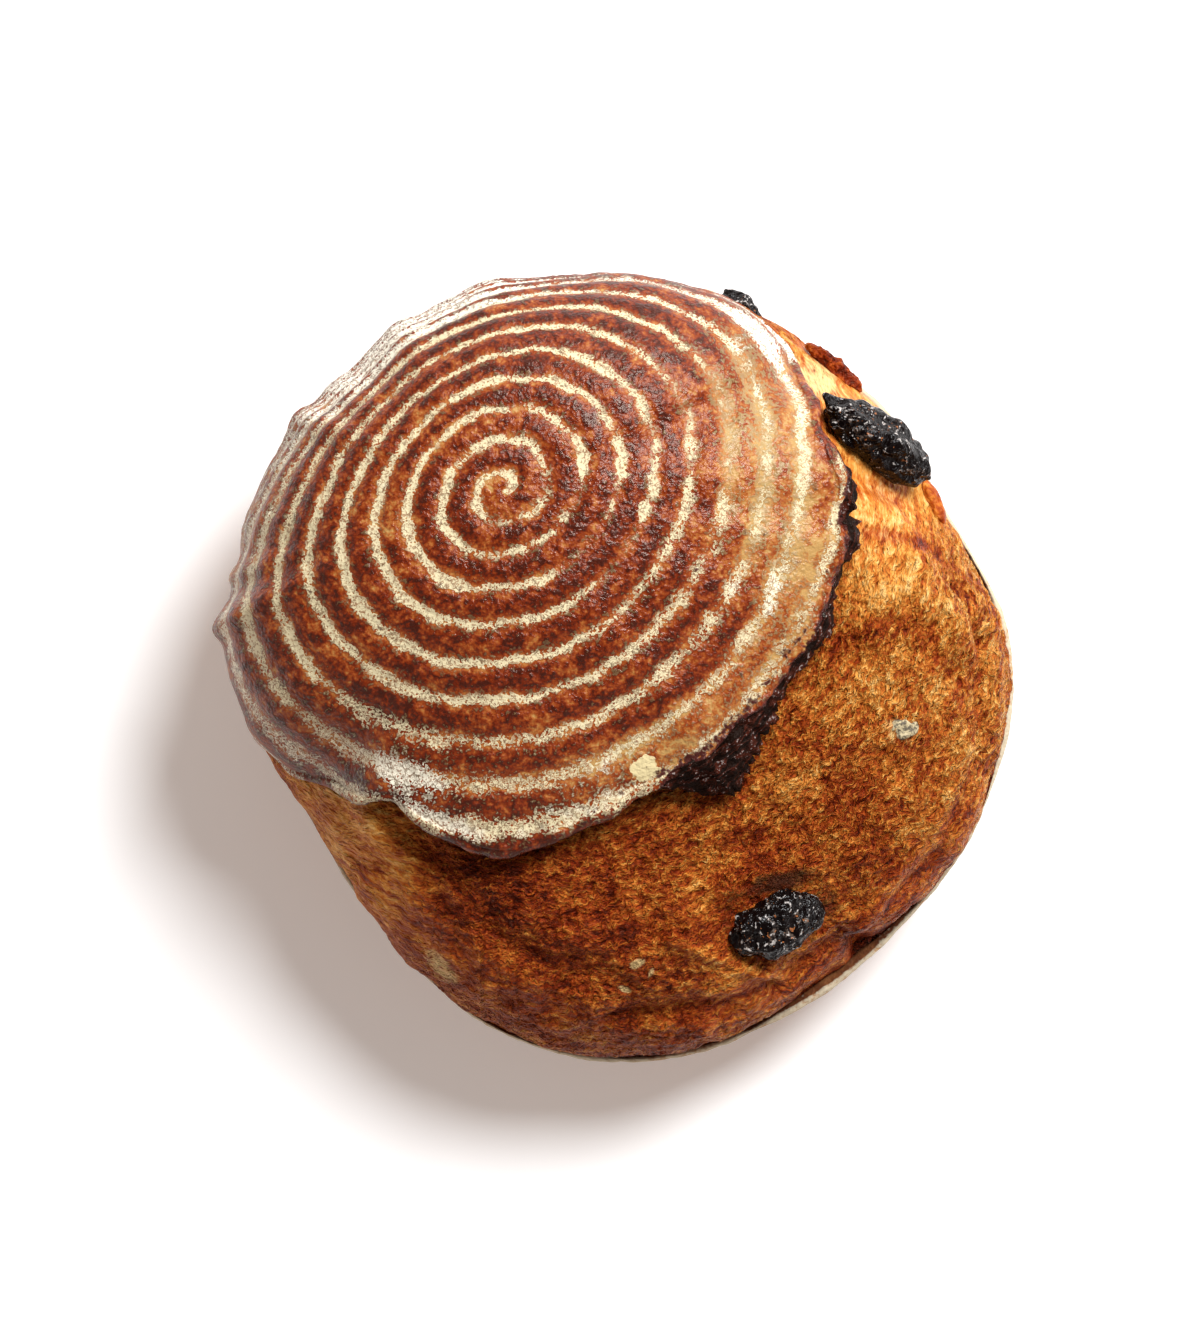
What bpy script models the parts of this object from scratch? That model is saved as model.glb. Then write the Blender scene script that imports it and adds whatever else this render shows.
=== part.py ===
"""A round fruited sourdough loaf, baked in a ring-coiled basket and torn open under a lifted lid of crust.

Metres, +Z up. The origin is the middle of the loaf's footprint, on the surface it stands on.
The loaf is one solid: a ring-marked lid, the torn belly that swelled out from under it, and the
lower crust. Each piece of fruit or nut that shows is a solid of its own, seated in a socket.
"""

import math

import bmesh
import bpy
import numpy as np
from mathutils import Euler, Matrix, Vector, noise

MM = 0.001

# The lid's middle. All bearings are taken round it, in degrees.
LID_X = -30.5 * MM
LID_Y = 43.5 * MM
LID_Z = 95.0 * MM

# The coil marks wind out from here: the pitch at every 30 degrees, and how it grows with each turn.
COIL_AT = (-28.4 * MM, 44.9 * MM)
COIL_START = 0.22
COIL_PITCH_MM = (8.7, 9.7, 9.9, 9.2, 8.5, 8.6, 9.2, 9.5, 9.3, 7.8, 7.5, 7.7)
COIL_GROWTH_MM = (0.06, -0.03, -0.24, -0.33, -0.30, -0.30, -0.22, 0.01, 0.04, 0.19, 0.18, 0.14)
COIL_RELIEF = 0.4 * MM
VIEW_HEIGHT = 1600.0 * MM

# Widest outline and lid edge, as distances from the lid's middle at every 15 degrees.
OUTLINE_MM = (116.5, 103.5, 89, 80.5, 69, 62, 57.5, 54, 52, 51.5, 53, 58,
              63.5, 70.5, 83, 91, 99, 116.5, 140, 153, 155.5, 154.5, 150.5, 139)
LID_EDGE_MM = (88.5, 85.5, 85, 78, 68.5, 61.5, 57, 53.5, 51.5, 51, 52.5, 57.5,
               63, 70, 82, 88.5, 86.5, 86.5, 91, 88, 85, 86, 87.5, 89.5)

# Places where the lid's edge was torn out or in: bearing, half width in degrees, reach in mm.
LID_TABS = ((204, 3.0, 4.2), (196, 2.2, 2.0), (157, 4.0, 2.5), (251, 3.5, -4.5), (233, 4.0, 2.0),
            (270, 5.0, 1.5), (2, 3.0, 1.6), (353, 3.5, 1.4), (12, 3.0, -1.2), (310, 6.0, 1.5), (98, 5.0, 1.6))

# Where the torn face below the lip shows from above: bearing, half width in degrees, reach in mm.
TORN_FACES = ((309, 13.0, 8.0), (337, 8.0, 3.0), (357, 7.0, 3.5), (285, 7.0, 2.0))
TORN_DROP = 0.5

# Where the belly hangs over the lower crust's rim and hides it: bearing, half width, reach in mm.
RIM_HIDDEN = ((238, 24.0, 3.6), (60, 18.0, 1.5))
RIM_WAVE = 3.5 * MM
RIM_WAVE_SIZE = 55.0 * MM

# Heights and thicknesses.
LID_EDGE_OPEN_Z = 83.0 * MM
LID_EDGE_SHUT_Z = 49.0 * MM
LID_SWELL = 4.5 * MM
LID_SWELL_AT = (-10.0 * MM, 16.0 * MM)
LID_SWELL_SPREAD = 34.0 * MM
LIP_THICK_OPEN = 5.0 * MM
LIP_THICK_SHUT = 3.6 * MM
UNDERCUT_OPEN = 9.0 * MM
UNDERCUT_SHUT = 3.0 * MM
CREASE_DROP_OPEN = 5.0 * MM
CREASE_DROP_SHUT = 1.6 * MM
TEAR_Z_OPEN = 33.0 * MM
TEAR_Z_SHUT = 35.0 * MM
SHUT_WALL_INSET = 2.4 * MM
RIM_STEP = 2.0 * MM
BASE_TUCK = 19.0 * MM
OPEN_GAP = 24.0 * MM

# Grid of the lofted skin: segments round it, and rows in each stretch of its profile.
SEGMENTS = 92
LID_ROWS = 28
LIP_ROWS = 4
UNDER_ROWS = 2
BELLY_ROWS = 12
RIM_ROWS = 2
WALL_ROWS = 4
BASE_ROWS = 2

# Grooves and folds in the torn belly: plan points in mm, half width in mm, depth in mm.
FOLDS = (
    (((58, 53), (76, 44), (90, 27), (97, 8)), 3.4, 3.2),
    (((98, 6), (96, -22), (84, -50), (64, -72), (30, -88), (-2, -93)), 2.6, 2.2),
    (((70, -78), (60, -70), (44, -84)), 3.0, 2.2),
    (((-52, -44), (-42, -62), (-22, -76), (2, -82)), 4.5, 1.8),
    (((60, 2), (78, 6), (92, -2)), 4.0, 1.5),
    (((20, -52), (48, -42), (72, -24)), 6.0, 1.4),
)

# Fruit and nut: name, bearing, distance in mm, rise of the middle above the crust in mm,
# length, width and depth in mm, heading in degrees, tilt down along the heading in degrees, hollow in mm.
FRUIT = (
    ("prune_shoulder", 8.8, 98.9, 1.2, 35.0, 15.5, 13.5, -34.0, 24.0, 1.8),
    ("prune_belly", 303.3, 131.0, -2.4, 25.0, 19.0, 13.0, 24.0, 8.0, 3.4),
    ("prune_back", 38.5, 81.3, -1.0, 14.0, 7.5, 8.0, -38.0, 8.0, 0.0),
    ("walnut_piece", 330.3, 119.5, -1.4, 10.5, 8.0, 6.0, 20.0, 6.0, 0.6),
)
SOCKET_GAP = 0.5 * MM
FRUIT_SUBDIVISIONS = 3
FRUIT_WRINKLE = 0.07

LUMP_HEIGHT = 1.5 * MM
LUMP_SIZE = 21.0 * MM
CRAG_HEIGHT = 0.9 * MM
CRAG_SIZE = 8.0 * MM
EDGE_RAG = 1.1 * MM
NOISE_SEED = 17.3

COLOURS = {
    "crust": ((0.30, 0.115, 0.045, 1.0), 0.55),
    "prune": ((0.018, 0.014, 0.014, 1.0), 0.28),
    "walnut": ((0.42, 0.36, 0.25, 1.0), 0.70),
}


def clear_scene():
    """Remove whatever the file opened with."""
    for old in list(bpy.data.objects):
        bpy.data.objects.remove(old, do_unlink=True)


def new_collection(name):
    """Add a collection to the scene and return it."""
    made = bpy.data.collections.new(name)
    bpy.context.scene.collection.children.link(made)
    return made


def material(name):
    """A Principled material with the colour and roughness named above."""
    colour, roughness = COLOURS[name]
    made = bpy.data.materials.new(name)
    made.use_nodes = True
    shader = made.node_tree.nodes["Principled BSDF"]
    shader.inputs["Base Color"].default_value = colour
    shader.inputs["Roughness"].default_value = roughness
    shader.inputs["Metallic"].default_value = 0.0
    made.diffuse_color = colour
    return made


def smooth(low, high, value):
    """Smooth step from 0 at low to 1 at high."""
    t = np.clip((value - low) / (high - low), 0.0, 1.0)
    return t * t * (3.0 - 2.0 * t)


def mix(a, b, share):
    """Blend from a to b."""
    return a + (b - a) * share


def around(stations, bearing):
    """Periodic cubic through evenly spaced stations, read at bearings in degrees."""
    table = np.asarray(stations, float)
    count = len(table)
    place = (np.asarray(bearing, float) % 360.0) / 360.0 * count
    index = np.floor(place).astype(int)
    f = place - index
    before, here, after, beyond = (table[(index + step) % count] for step in (-1, 0, 1, 2))
    return here + 0.5 * f * (after - before + f * (2 * before - 5 * here + 4 * after - beyond
                             + f * (3 * (here - after) + beyond - before)))


def reaches(bearing, places):
    """Reach in metres at each bearing, summed over places given as bearing, half width and reach in mm."""
    reach = np.zeros_like(bearing)
    for at, half_width, amount in places:
        away = (bearing - at + 180.0) % 360.0 - 180.0
        reach += amount * MM * np.exp(-((away / half_width) ** 2))
    return reach


def rough(points, size, seed=0.0):
    """Smooth noise from about -1 to 1 at each point, with lumps of about that size."""
    shift = Vector((NOISE_SEED + seed, -seed, seed * 0.5))
    flat = points.reshape(-1, 3) / size
    values = [noise.noise(Vector(p) + shift) for p in flat.tolist()]
    return np.array(values).reshape(points.shape[:-1])


def even_bearings(count):
    """Bearings that share the outline's length evenly, so that wide stretches get enough segments."""
    fine = np.linspace(0.0, 360.0, 1441)
    length = np.concatenate([[0.0], np.cumsum(around(OUTLINE_MM, (fine[1:] + fine[:-1]) / 2) + 25.0)])
    return np.interp(np.arange(count) / count * length[-1], length, fine)


def stations(bearing):
    """Every size of the loaf's profile at each bearing."""
    outline = around(OUTLINE_MM, bearing) * MM
    lid = around(LID_EDGE_MM, bearing) * MM
    gap = smooth(0.0, 1.0, np.clip((outline - lid) / OPEN_GAP, 0.0, 1.0))
    ring = np.stack([np.cos(np.radians(bearing)), np.sin(np.radians(bearing)), 0 * bearing], -1)
    rag = rough(ring * lid[:, None], 9.0 * MM, 3.0) * EDGE_RAG
    wall = outline - mix(SHUT_WALL_INSET, 0.0, gap)
    rim = RIM_STEP - reaches(bearing, RIM_HIDDEN)
    wave = rough(ring * outline[:, None], RIM_WAVE_SIZE, 11.0) * RIM_WAVE
    edge_z = mix(LID_EDGE_SHUT_Z, LID_EDGE_OPEN_Z, gap)
    thick = mix(LIP_THICK_SHUT, LIP_THICK_OPEN, gap)
    return {
        "open": gap,
        "lid": lid + reaches(bearing, LID_TABS) + rag,
        "torn": reaches(bearing, TORN_FACES) + np.abs(rag),
        "lid_z": edge_z + rough(ring * lid[:, None], 15.0 * MM, 7.0) * EDGE_RAG,
        "thick": thick,
        "crease": lid - mix(UNDERCUT_SHUT, UNDERCUT_OPEN, gap),
        "crease_z": edge_z - thick - mix(CREASE_DROP_SHUT, CREASE_DROP_OPEN, gap)
        - 0.3 * reaches(bearing, TORN_FACES),
        "tear": wall - np.maximum(rim, 0.0),
        "tear_z": mix(TEAR_Z_SHUT, TEAR_Z_OPEN, gap) + wave,
        "wall": wall + np.minimum(rim, 0.0),
    }


def lid_profile(at, u):
    """Distance and height on the lid, from its middle (u 0) to the top of its lip (u 1)."""
    t = mix(np.sin(u * math.pi / 2), u, at["open"])
    reach = (at["lid"] - at["thick"] / 2) * t
    fall = (1.0 - t ** mix(2.7, 2.1, at["open"])) ** mix(0.44, 1.0, at["open"])
    return reach, mix(at["lid_z"], LID_Z, fall)


def lip_profile(at, u):
    """Round the lid's lip and down its torn face, from its top to its underside."""
    turn = math.pi * (0.5 - u)
    half = at["thick"] / 2
    torn = at["torn"] * smooth(0.25, 0.8, u)
    reach = at["lid"] - half + half * math.cos(turn) + torn
    return reach, at["lid_z"] - half + half * math.sin(turn) - TORN_DROP * torn


def under_profile(at, u):
    """Back in under the lip, to the crease where the lid meets the belly."""
    reach = mix(at["lid"] - at["thick"] / 2 + at["torn"], at["crease"], u)
    return reach, mix(at["lid_z"] - at["thick"] - TORN_DROP * at["torn"], at["crease_z"], u ** 1.5)


def belly_profile(at, u):
    """The torn belly, from the crease out and down to the tear's lower edge."""
    turn = u * math.pi / 2
    reach = at["crease"] + (at["tear"] - at["crease"]) * math.sin(turn)
    return reach, at["tear_z"] + (at["crease_z"] - at["tear_z"]) * max(math.cos(turn), 0.0) ** 0.9


def rim_profile(at, u):
    """The thin edge of the lower crust, which stands just proud of the belly."""
    return mix(at["tear"], at["wall"], u), at["tear_z"] + 0.4 * RIM_STEP * math.sin(u * math.pi)


def wall_profile(at, u):
    """The lower crust, from its rim down and in to the flat base."""
    turn = u * math.pi / 2
    reach = at["wall"] - BASE_TUCK * (1.0 - max(math.cos(turn), 0.0) ** 0.9)
    return reach, at["tear_z"] * (1.0 - math.sin(turn) ** 1.1)


def profile_rows():
    """The stretches of the profile in order: function, rows, share of the belly's and lid's relief."""
    return (
        ("lid", lid_profile, LID_ROWS),
        ("lip", lip_profile, LIP_ROWS),
        ("under", under_profile, UNDER_ROWS),
        ("belly", belly_profile, BELLY_ROWS),
        ("rim", rim_profile, RIM_ROWS),
        ("wall", wall_profile, WALL_ROWS),
    )


def skin_grid(bearing):
    """Points of the loaf's skin before relief, row by row, and the stretch and share of each row."""
    at = stations(bearing)
    direction = np.stack([np.cos(np.radians(bearing)), np.sin(np.radians(bearing))], -1)
    middle = np.array([LID_X, LID_Y])
    rows, names, shares = [], [], []
    for name, profile, count in profile_rows():
        for step in range(0 if not rows else 1, count + 1):
            reach, height = profile(at, step / count)
            plan = middle + direction * np.broadcast_to(reach, bearing.shape)[:, None]
            z = np.broadcast_to(height, bearing.shape)[:, None]
            rows.append(np.concatenate([plan, z], 1))
            names.append(name)
            shares.append(step / count)
    foot = rows[-1]
    for step in range(1, BASE_ROWS + 1):
        rows.append(foot * (1.0 - step / BASE_ROWS))
        names.append("base")
        shares.append(step / BASE_ROWS)
    grid = np.array(rows)
    swell = np.exp(-((grid[..., 0] - LID_SWELL_AT[0]) ** 2 + (grid[..., 1] - LID_SWELL_AT[1]) ** 2)
                   / (2 * LID_SWELL_SPREAD ** 2))
    on_lid = np.array([1.0 - share ** 3 if name == "lid" else 0.0 for name, share in zip(names, shares)])
    grid[..., 2] += LID_SWELL * swell * on_lid[:, None]
    return grid, names, np.array(shares), at


def grid_normals(grid):
    """Outward directions of the skin, from its neighbours along both ways of the grid."""
    along = np.roll(grid, -1, 1) - np.roll(grid, 1, 1)
    down = np.gradient(grid, axis=0)
    normal = np.cross(along, -down)
    length = np.linalg.norm(normal, axis=-1, keepdims=True)
    return normal / np.maximum(length, 1e-9)


def fold_depth(grid):
    """Depth of the belly's grooves at each point."""
    depth = np.zeros(grid.shape[:-1])
    plan = grid[..., :2]
    for points, half_width, amount in FOLDS:
        nearest = np.full(grid.shape[:-1], 1.0)
        for start, end in zip(points[:-1], points[1:]):
            a = np.array(start) * MM
            b = np.array(end) * MM
            share = np.clip(((plan - a) @ (b - a)) / ((b - a) @ (b - a)), 0.0, 1.0)
            nearest = np.minimum(nearest, np.linalg.norm(plan - a - share[..., None] * (b - a), axis=-1))
        depth += amount * MM * np.exp(-((nearest / (half_width * MM)) ** 2))
    return depth


def crust_height(bearing, distance):
    """Height of the torn belly at one bearing and distance from the lid's middle."""
    at = {key: float(value[0]) for key, value in stations(np.array([bearing])).items()}
    share = min((distance - at["crease"]) / (at["tear"] - at["crease"]), 1.0)
    return belly_profile(at, math.asin(max(share, 0.0)) / (math.pi / 2))[1]


def fruit_place(item):
    """Middle and rotation of one piece of fruit or nut."""
    bearing, distance, rise, heading, tilt = item[1], item[2], item[3], item[7], item[8]
    angle = math.radians(bearing)
    reach = distance * MM
    middle = Vector((LID_X + reach * math.cos(angle), LID_Y + reach * math.sin(angle),
                     crust_height(bearing, reach) + rise * MM))
    return middle, Euler((0.0, math.radians(tilt), math.radians(heading)))


def fruit_hollow(grid):
    """How far the crust sinks round each piece that sits in a hollow."""
    depth = np.zeros(grid.shape[:-1])
    for item in FRUIT:
        middle, turn = fruit_place(item)
        away = (grid - np.array(middle)) @ np.array(turn.to_matrix())
        size = np.array([item[4], item[5], max(item[6], item[5])]) * MM / 2 * 1.35
        depth += item[9] * MM * np.exp(-((np.linalg.norm(away / size, axis=-1)) ** 4))
    return depth


def coil_turns(grid):
    """How many turns out from the coil's start each point is, and its bearing from that start."""
    away = grid[..., :2] - np.array(COIL_AT)
    angle = np.arctan2(away[..., 1], away[..., 0])
    seen = np.linalg.norm(away, axis=-1) * (VIEW_HEIGHT - LID_Z) / (VIEW_HEIGHT - grid[..., 2])
    pitch = around(COIL_PITCH_MM, np.degrees(angle)) * MM
    growth = around(COIL_GROWTH_MM, np.degrees(angle)) * MM
    inner = np.maximum(pitch ** 2 + 4 * growth * seen, 0.0)
    return 2 * seen / (pitch + np.sqrt(inner)) - COIL_START, angle


def relief(grid, names, shares, at):
    """Height of the crust's rings, lumps, crags, grooves and hollows along the skin's normal."""
    on_lid = np.array([1.0 if name == "lid" else 0.0 for name in names])[:, None]
    on_lip = np.array([1.0 if name == "lip" else 0.0 for name in names])[:, None]
    belly = np.array([smooth(0.0, 0.25, s) if n == "belly" else 0.0 for n, s in zip(names, shares)])[:, None]
    wall = np.array([1.0 - s if n == "wall" else float(n == "rim") for n, s in zip(names, shares)])[:, None]
    steps = np.linalg.norm(np.diff(grid, axis=0), axis=-1)
    length = np.concatenate([np.zeros((1, grid.shape[1])), np.cumsum(steps, axis=0)])
    turns, angle = coil_turns(grid)
    rings = -np.cos(2 * math.pi * turns - angle) * COIL_RELIEF * smooth(0.0, 8.0 * MM, length)
    lumps = rough(grid, LUMP_SIZE) * LUMP_HEIGHT
    crags = rough(grid, CRAG_SIZE, 5.0) * CRAG_HEIGHT
    height = on_lid * (rings + 0.5 * lumps * smooth(0.0, 20.0 * MM, length)) + on_lip * 0.4 * crags
    height += belly * (at["open"][None, :] * lumps + crags - fold_depth(grid) - fruit_hollow(grid))
    return height + wall * (0.5 * lumps + 0.4 * crags)


def loft(name, segments, grid, collection):
    """A closed skin: a UV sphere whose rings are moved to the rows of the grid."""
    rows = len(grid) - 1
    mesh = bpy.data.meshes.new(name)
    ball = bmesh.new()
    bmesh.ops.create_uvsphere(ball, u_segments=segments, v_segments=rows, radius=1.0)
    for vert in ball.verts:
        row = round(math.acos(max(-1.0, min(1.0, vert.co.z))) / math.pi * rows)
        column = round(math.atan2(vert.co.y, vert.co.x) / (2 * math.pi) * segments) % segments
        vert.co = Vector(grid[row, column])
    bmesh.ops.triangulate(ball, faces=ball.faces)
    bmesh.ops.recalc_face_normals(ball, faces=ball.faces)
    ball.to_mesh(mesh)
    ball.free()
    made = bpy.data.objects.new(name, mesh)
    collection.objects.link(made)
    return made


def build_loaf(collection):
    """The loaf itself, crust and crumb in one solid."""
    bearing = even_bearings(SEGMENTS)
    grid, names, shares, at = skin_grid(bearing)
    moved = grid + grid_normals(grid) * relief(grid, names, shares, at)[..., None]
    moved[0] = moved[1].mean(axis=0)
    on_base = np.array([name == "base" or (name == "wall" and share == 1.0) for name, share in zip(names, shares)])
    moved[on_base, :, 2] = 0.0
    moved[..., 2] = np.maximum(moved[..., 2], 0.0)
    made = loft("loaf", SEGMENTS, moved, collection)
    made.data.materials.append(material("crust"))
    made.data.shade_smooth()
    return made


def fruit_blob(name, item, swell):
    """Wrinkled ellipsoid mesh of one piece, swollen by that much all over."""
    half = Vector((item[4], item[5], item[6])) * (MM / 2)
    mesh = bpy.data.meshes.new(name)
    blob = bmesh.new()
    bmesh.ops.create_icosphere(blob, subdivisions=FRUIT_SUBDIVISIONS, radius=1.0)
    for vert in blob.verts:
        way = vert.co.normalized()
        wrinkle = noise.noise(way * 2.3 + Vector((item[1], 0.0, NOISE_SEED))) * FRUIT_WRINKLE * 2
        crease = FRUIT_WRINKLE * math.cos(5.0 * math.atan2(way.z, way.y)) * (1.0 - way.x ** 2)
        vert.co = Vector(a * b for a, b in zip(way, half)) * (1.0 + wrinkle + crease)
        vert.co += way * swell
    blob.to_mesh(mesh)
    blob.free()
    return mesh


def build_fruit(item, parts, cutters, loaf, finishes):
    """One piece of fruit or nut, and the socket that it sits in."""
    name = item[0]
    middle, turn = fruit_place(item)
    place = Matrix.Translation(middle) @ turn.to_matrix().to_4x4()
    piece = bpy.data.objects.new(name, fruit_blob(name, item, 0.0))
    piece.matrix_world = place
    piece.data.materials.append(finishes["walnut" if name.startswith("walnut") else "prune"])
    piece.data.shade_smooth()
    parts.objects.link(piece)
    cutter = bpy.data.objects.new(name + "_socket", fruit_blob(name + "_socket", item, SOCKET_GAP))
    cutter.matrix_world = place
    cutter.hide_render = True
    cutter.display_type = "WIRE"
    cutters.objects.link(cutter)
    cut = loaf.modifiers.new(name + "_socket", "BOOLEAN")
    cut.operation = "DIFFERENCE"
    cut.solver = "EXACT"
    cut.object = cutter


def main():
    """Model the loaf and its fruit."""
    clear_scene()
    parts = new_collection("sourdough_loaf")
    cutters = new_collection("cutters")
    finishes = {name: material(name) for name in ("prune", "walnut")}
    loaf = build_loaf(parts)
    for item in FRUIT:
        build_fruit(item, parts, cutters, loaf, finishes)


main()
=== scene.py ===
"""Looks for a round fruited sourdough loaf, dressed over its solids.

A lid of dark crust, ringed with flour by the coils of its basket, stands open over a torn golden
belly. Prunes and a piece of walnut show in the tear, and the lower crust closes the loaf below.
Every size is in metres unless a name says otherwise, in the solids' own frame.
"""

from __future__ import annotations

import logging
import math
from collections.abc import Callable, Sequence
from dataclasses import dataclass
from enum import Enum

import bmesh
import bpy
import numpy as np
from mathutils import Euler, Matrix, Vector, noise


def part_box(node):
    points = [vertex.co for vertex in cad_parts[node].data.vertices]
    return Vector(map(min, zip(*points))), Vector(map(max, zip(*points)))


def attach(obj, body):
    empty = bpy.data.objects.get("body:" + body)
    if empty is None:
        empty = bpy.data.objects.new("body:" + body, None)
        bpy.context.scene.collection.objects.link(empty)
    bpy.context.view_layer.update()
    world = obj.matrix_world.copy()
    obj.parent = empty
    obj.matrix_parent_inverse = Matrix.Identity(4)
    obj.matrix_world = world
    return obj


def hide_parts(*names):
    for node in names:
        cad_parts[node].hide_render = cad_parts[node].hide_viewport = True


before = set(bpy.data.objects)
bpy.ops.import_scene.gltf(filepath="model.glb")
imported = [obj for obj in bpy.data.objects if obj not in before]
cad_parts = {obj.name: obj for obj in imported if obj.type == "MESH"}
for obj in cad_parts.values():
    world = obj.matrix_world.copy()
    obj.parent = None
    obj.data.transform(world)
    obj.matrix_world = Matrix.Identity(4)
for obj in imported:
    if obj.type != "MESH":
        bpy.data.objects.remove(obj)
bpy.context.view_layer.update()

LOG = logging.getLogger("sourdough_loaf")
MM = 0.001
BODY = "root"
LUMP_SIZE = 21.0 * MM
LUMP_HEIGHT = 1.5 * MM
CRAG_SIZE = 8.0 * MM
CRAG_HEIGHT = 0.9 * MM
CRAG_SEED = 5.0
MERGE_GAP = 1e-7
Colour = tuple[float, float, float]


def smooth(low: float, high: float, value: np.ndarray) -> np.ndarray:
    """Return values eased from 0 at low to 1 at high."""
    t = np.clip((value - low) / (high - low), 0.0, 1.0)
    return t * t * (3.0 - 2.0 * t)


def blend(a: np.ndarray, b: np.ndarray, share: np.ndarray) -> np.ndarray:
    """Return a moved towards b by that share."""
    return a + (b - a) * share


def hump(value: np.ndarray, middle: float, half_width: float, power: int = 2) -> np.ndarray:
    """Return 1 at the middle and nearly 0 past the half width, squarer with a higher power."""
    return np.exp(-(((value - middle) / half_width) ** power))


def turned(bearing: np.ndarray) -> np.ndarray:
    """Return the same bearings from -180 to 180 degrees."""
    return (bearing + 180.0) % 360.0 - 180.0


def around(stations: Sequence[float], bearing: np.ndarray) -> np.ndarray:
    """Read a periodic cubic through evenly spaced stations.

    Args:
        stations: Values at even bearings, the first at 0 degrees.
        bearing: Bearings in degrees.

    Returns:
        The value at each bearing.
    """
    table = np.asarray(stations, float)
    count = len(table)
    place = (np.asarray(bearing, float) % 360.0) / 360.0 * count
    index = np.floor(place).astype(int)
    f = place - index
    before, here, after, beyond = (table[(index + step) % count] for step in (-1, 0, 1, 2))
    return here + 0.5 * f * (after - before + f * (2 * before - 5 * here + 4 * after - beyond
                             + f * (3 * (here - after) + beyond - before)))


def reaches(bearing: np.ndarray, places: Sequence[tuple[float, float, float]]) -> np.ndarray:
    """Sum bumps placed round the loaf.

    Args:
        bearing: Bearings in degrees.
        places: Bearing, half width in degrees and reach in mm of each bump.

    Returns:
        The reach at each bearing, in metres.
    """
    reach = np.zeros_like(bearing)
    for at, half_width, amount in places:
        reach += amount * MM * hump(turned(bearing - at), 0.0, half_width)
    return reach


def rough(points: np.ndarray, size: float, seed: float = 0.0) -> np.ndarray:
    """Read the same lumps that the solids have.

    Args:
        points: Points, in any shape of array with three numbers last.
        size: Size of a lump.
        seed: Shift that picks another set of lumps.

    Returns:
        Values from about -1 to 1, one for each point.
    """
    shift = Vector((17.3 + seed, -seed, seed * 0.5))
    flat = points.reshape(-1, 3) / size
    values = [noise.noise(Vector(p) + shift) for p in flat.tolist()]
    return np.array(values).reshape(points.shape[:-1])


class Grain:
    """Seeded noise over points in space, for detail finer than the solids'."""

    def __init__(self, seed: int) -> None:
        """Draw the directions that the noise is made from.

        Args:
            seed: Seed of the draw.
        """
        draw = np.random.default_rng(seed)
        ways = draw.normal(size=(512, 3))
        self.ways = ways / np.linalg.norm(ways, axis=1, keepdims=True)
        self.shifts = draw.random((512, 3))

    @staticmethod
    def _pick(cell: np.ndarray) -> np.ndarray:
        """Scramble whole-numbered cells.

        Args:
            cell: The cells.

        Returns:
            An index from 0 to 511 for each cell.
        """
        x, y, z = (cell[..., axis].astype(np.int64) for axis in range(3))
        mixed = x * 73856093 ^ y * 19349663 ^ z * 83492791
        return (mixed ^ (mixed >> 13) ^ (mixed >> 7)) & 511

    def lumps(self, points: np.ndarray, size: float) -> np.ndarray:
        """Make smooth lumps.

        Args:
            points: Points in metres.
            size: Size of a lump.

        Returns:
            Values from about -1 to 1.
        """
        place = points / size
        cell = np.floor(place)
        inside = place - cell
        ease = inside ** 3 * (inside * (inside * 6 - 15) + 10)
        total = np.zeros(points.shape[:-1])
        for corner in np.ndindex(2, 2, 2):
            offset = np.array(corner)
            way = self.ways[self._pick(cell + offset)]
            weight = np.prod(np.where(offset, ease, 1 - ease), axis=-1)
            total += weight * np.sum(way * (inside - offset), axis=-1)
        return total * 1.6

    def layered(self, points: np.ndarray, size: float, layers: int) -> np.ndarray:
        """Sum lumps of ever smaller size, each layer half as strong as the last.

        Args:
            points: Points in metres.
            size: Size of the largest lumps.
            layers: How many sizes are summed.

        Returns:
            Values from about -1 to 1.
        """
        total = np.zeros(points.shape[:-1])
        for layer in range(layers):
            total += self.lumps(points + layer * 0.37, size / 2 ** layer) / 2 ** layer
        return total / 1.5

    def ridges(self, points: np.ndarray, size: float, layers: int) -> np.ndarray:
        """Make thin crests with rounded hollows between them.

        Args:
            points: Points in metres.
            size: Distance from crest to crest.
            layers: How many sizes are summed.

        Returns:
            Values from 0 in the hollows to 1 on the crests.
        """
        total = np.zeros(points.shape[:-1])
        weight = np.ones_like(total)
        for layer in range(layers):
            crest = (1.0 - np.abs(self.lumps(points + layer * 0.61, size / 2 ** layer))) ** 2
            total += crest * weight / 2 ** layer
            weight = np.clip(crest * 1.6, 0.0, 1.0)
        return np.clip(total / 1.6, 0.0, 1.0)

    def cells(self, points: np.ndarray, size: float) -> tuple[np.ndarray, np.ndarray]:
        """Measure to the nearest and second nearest of scattered middles.

        Args:
            points: Points in metres.
            size: Usual distance between middles.

        Returns:
            Both distances, in cells.
        """
        place = points / size
        cell = np.floor(place)
        near = np.full(points.shape[:-1], 9.0)
        second = near.copy()
        for corner in np.ndindex(3, 3, 3):
            other = cell + np.array(corner) - 1
            gap = np.linalg.norm(other + self.shifts[self._pick(other)] - place, axis=-1)
            second = np.minimum(second, np.maximum(near, gap))
            near = np.minimum(near, gap)
        return near, second


def fresh_mesh(name: str, shape: Callable, **sizes: float) -> bpy.types.Mesh:
    """Make a mesh from one of the shapes that bmesh creates.

    Args:
        name: The mesh's name.
        shape: The operator that creates the shape.
        **sizes: What the operator is given.

    Returns:
        The new mesh.
    """
    made = bpy.data.meshes.new(name)
    draft = bmesh.new()
    shape(draft, **sizes)
    draft.to_mesh(made)
    draft.free()
    return made


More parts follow.
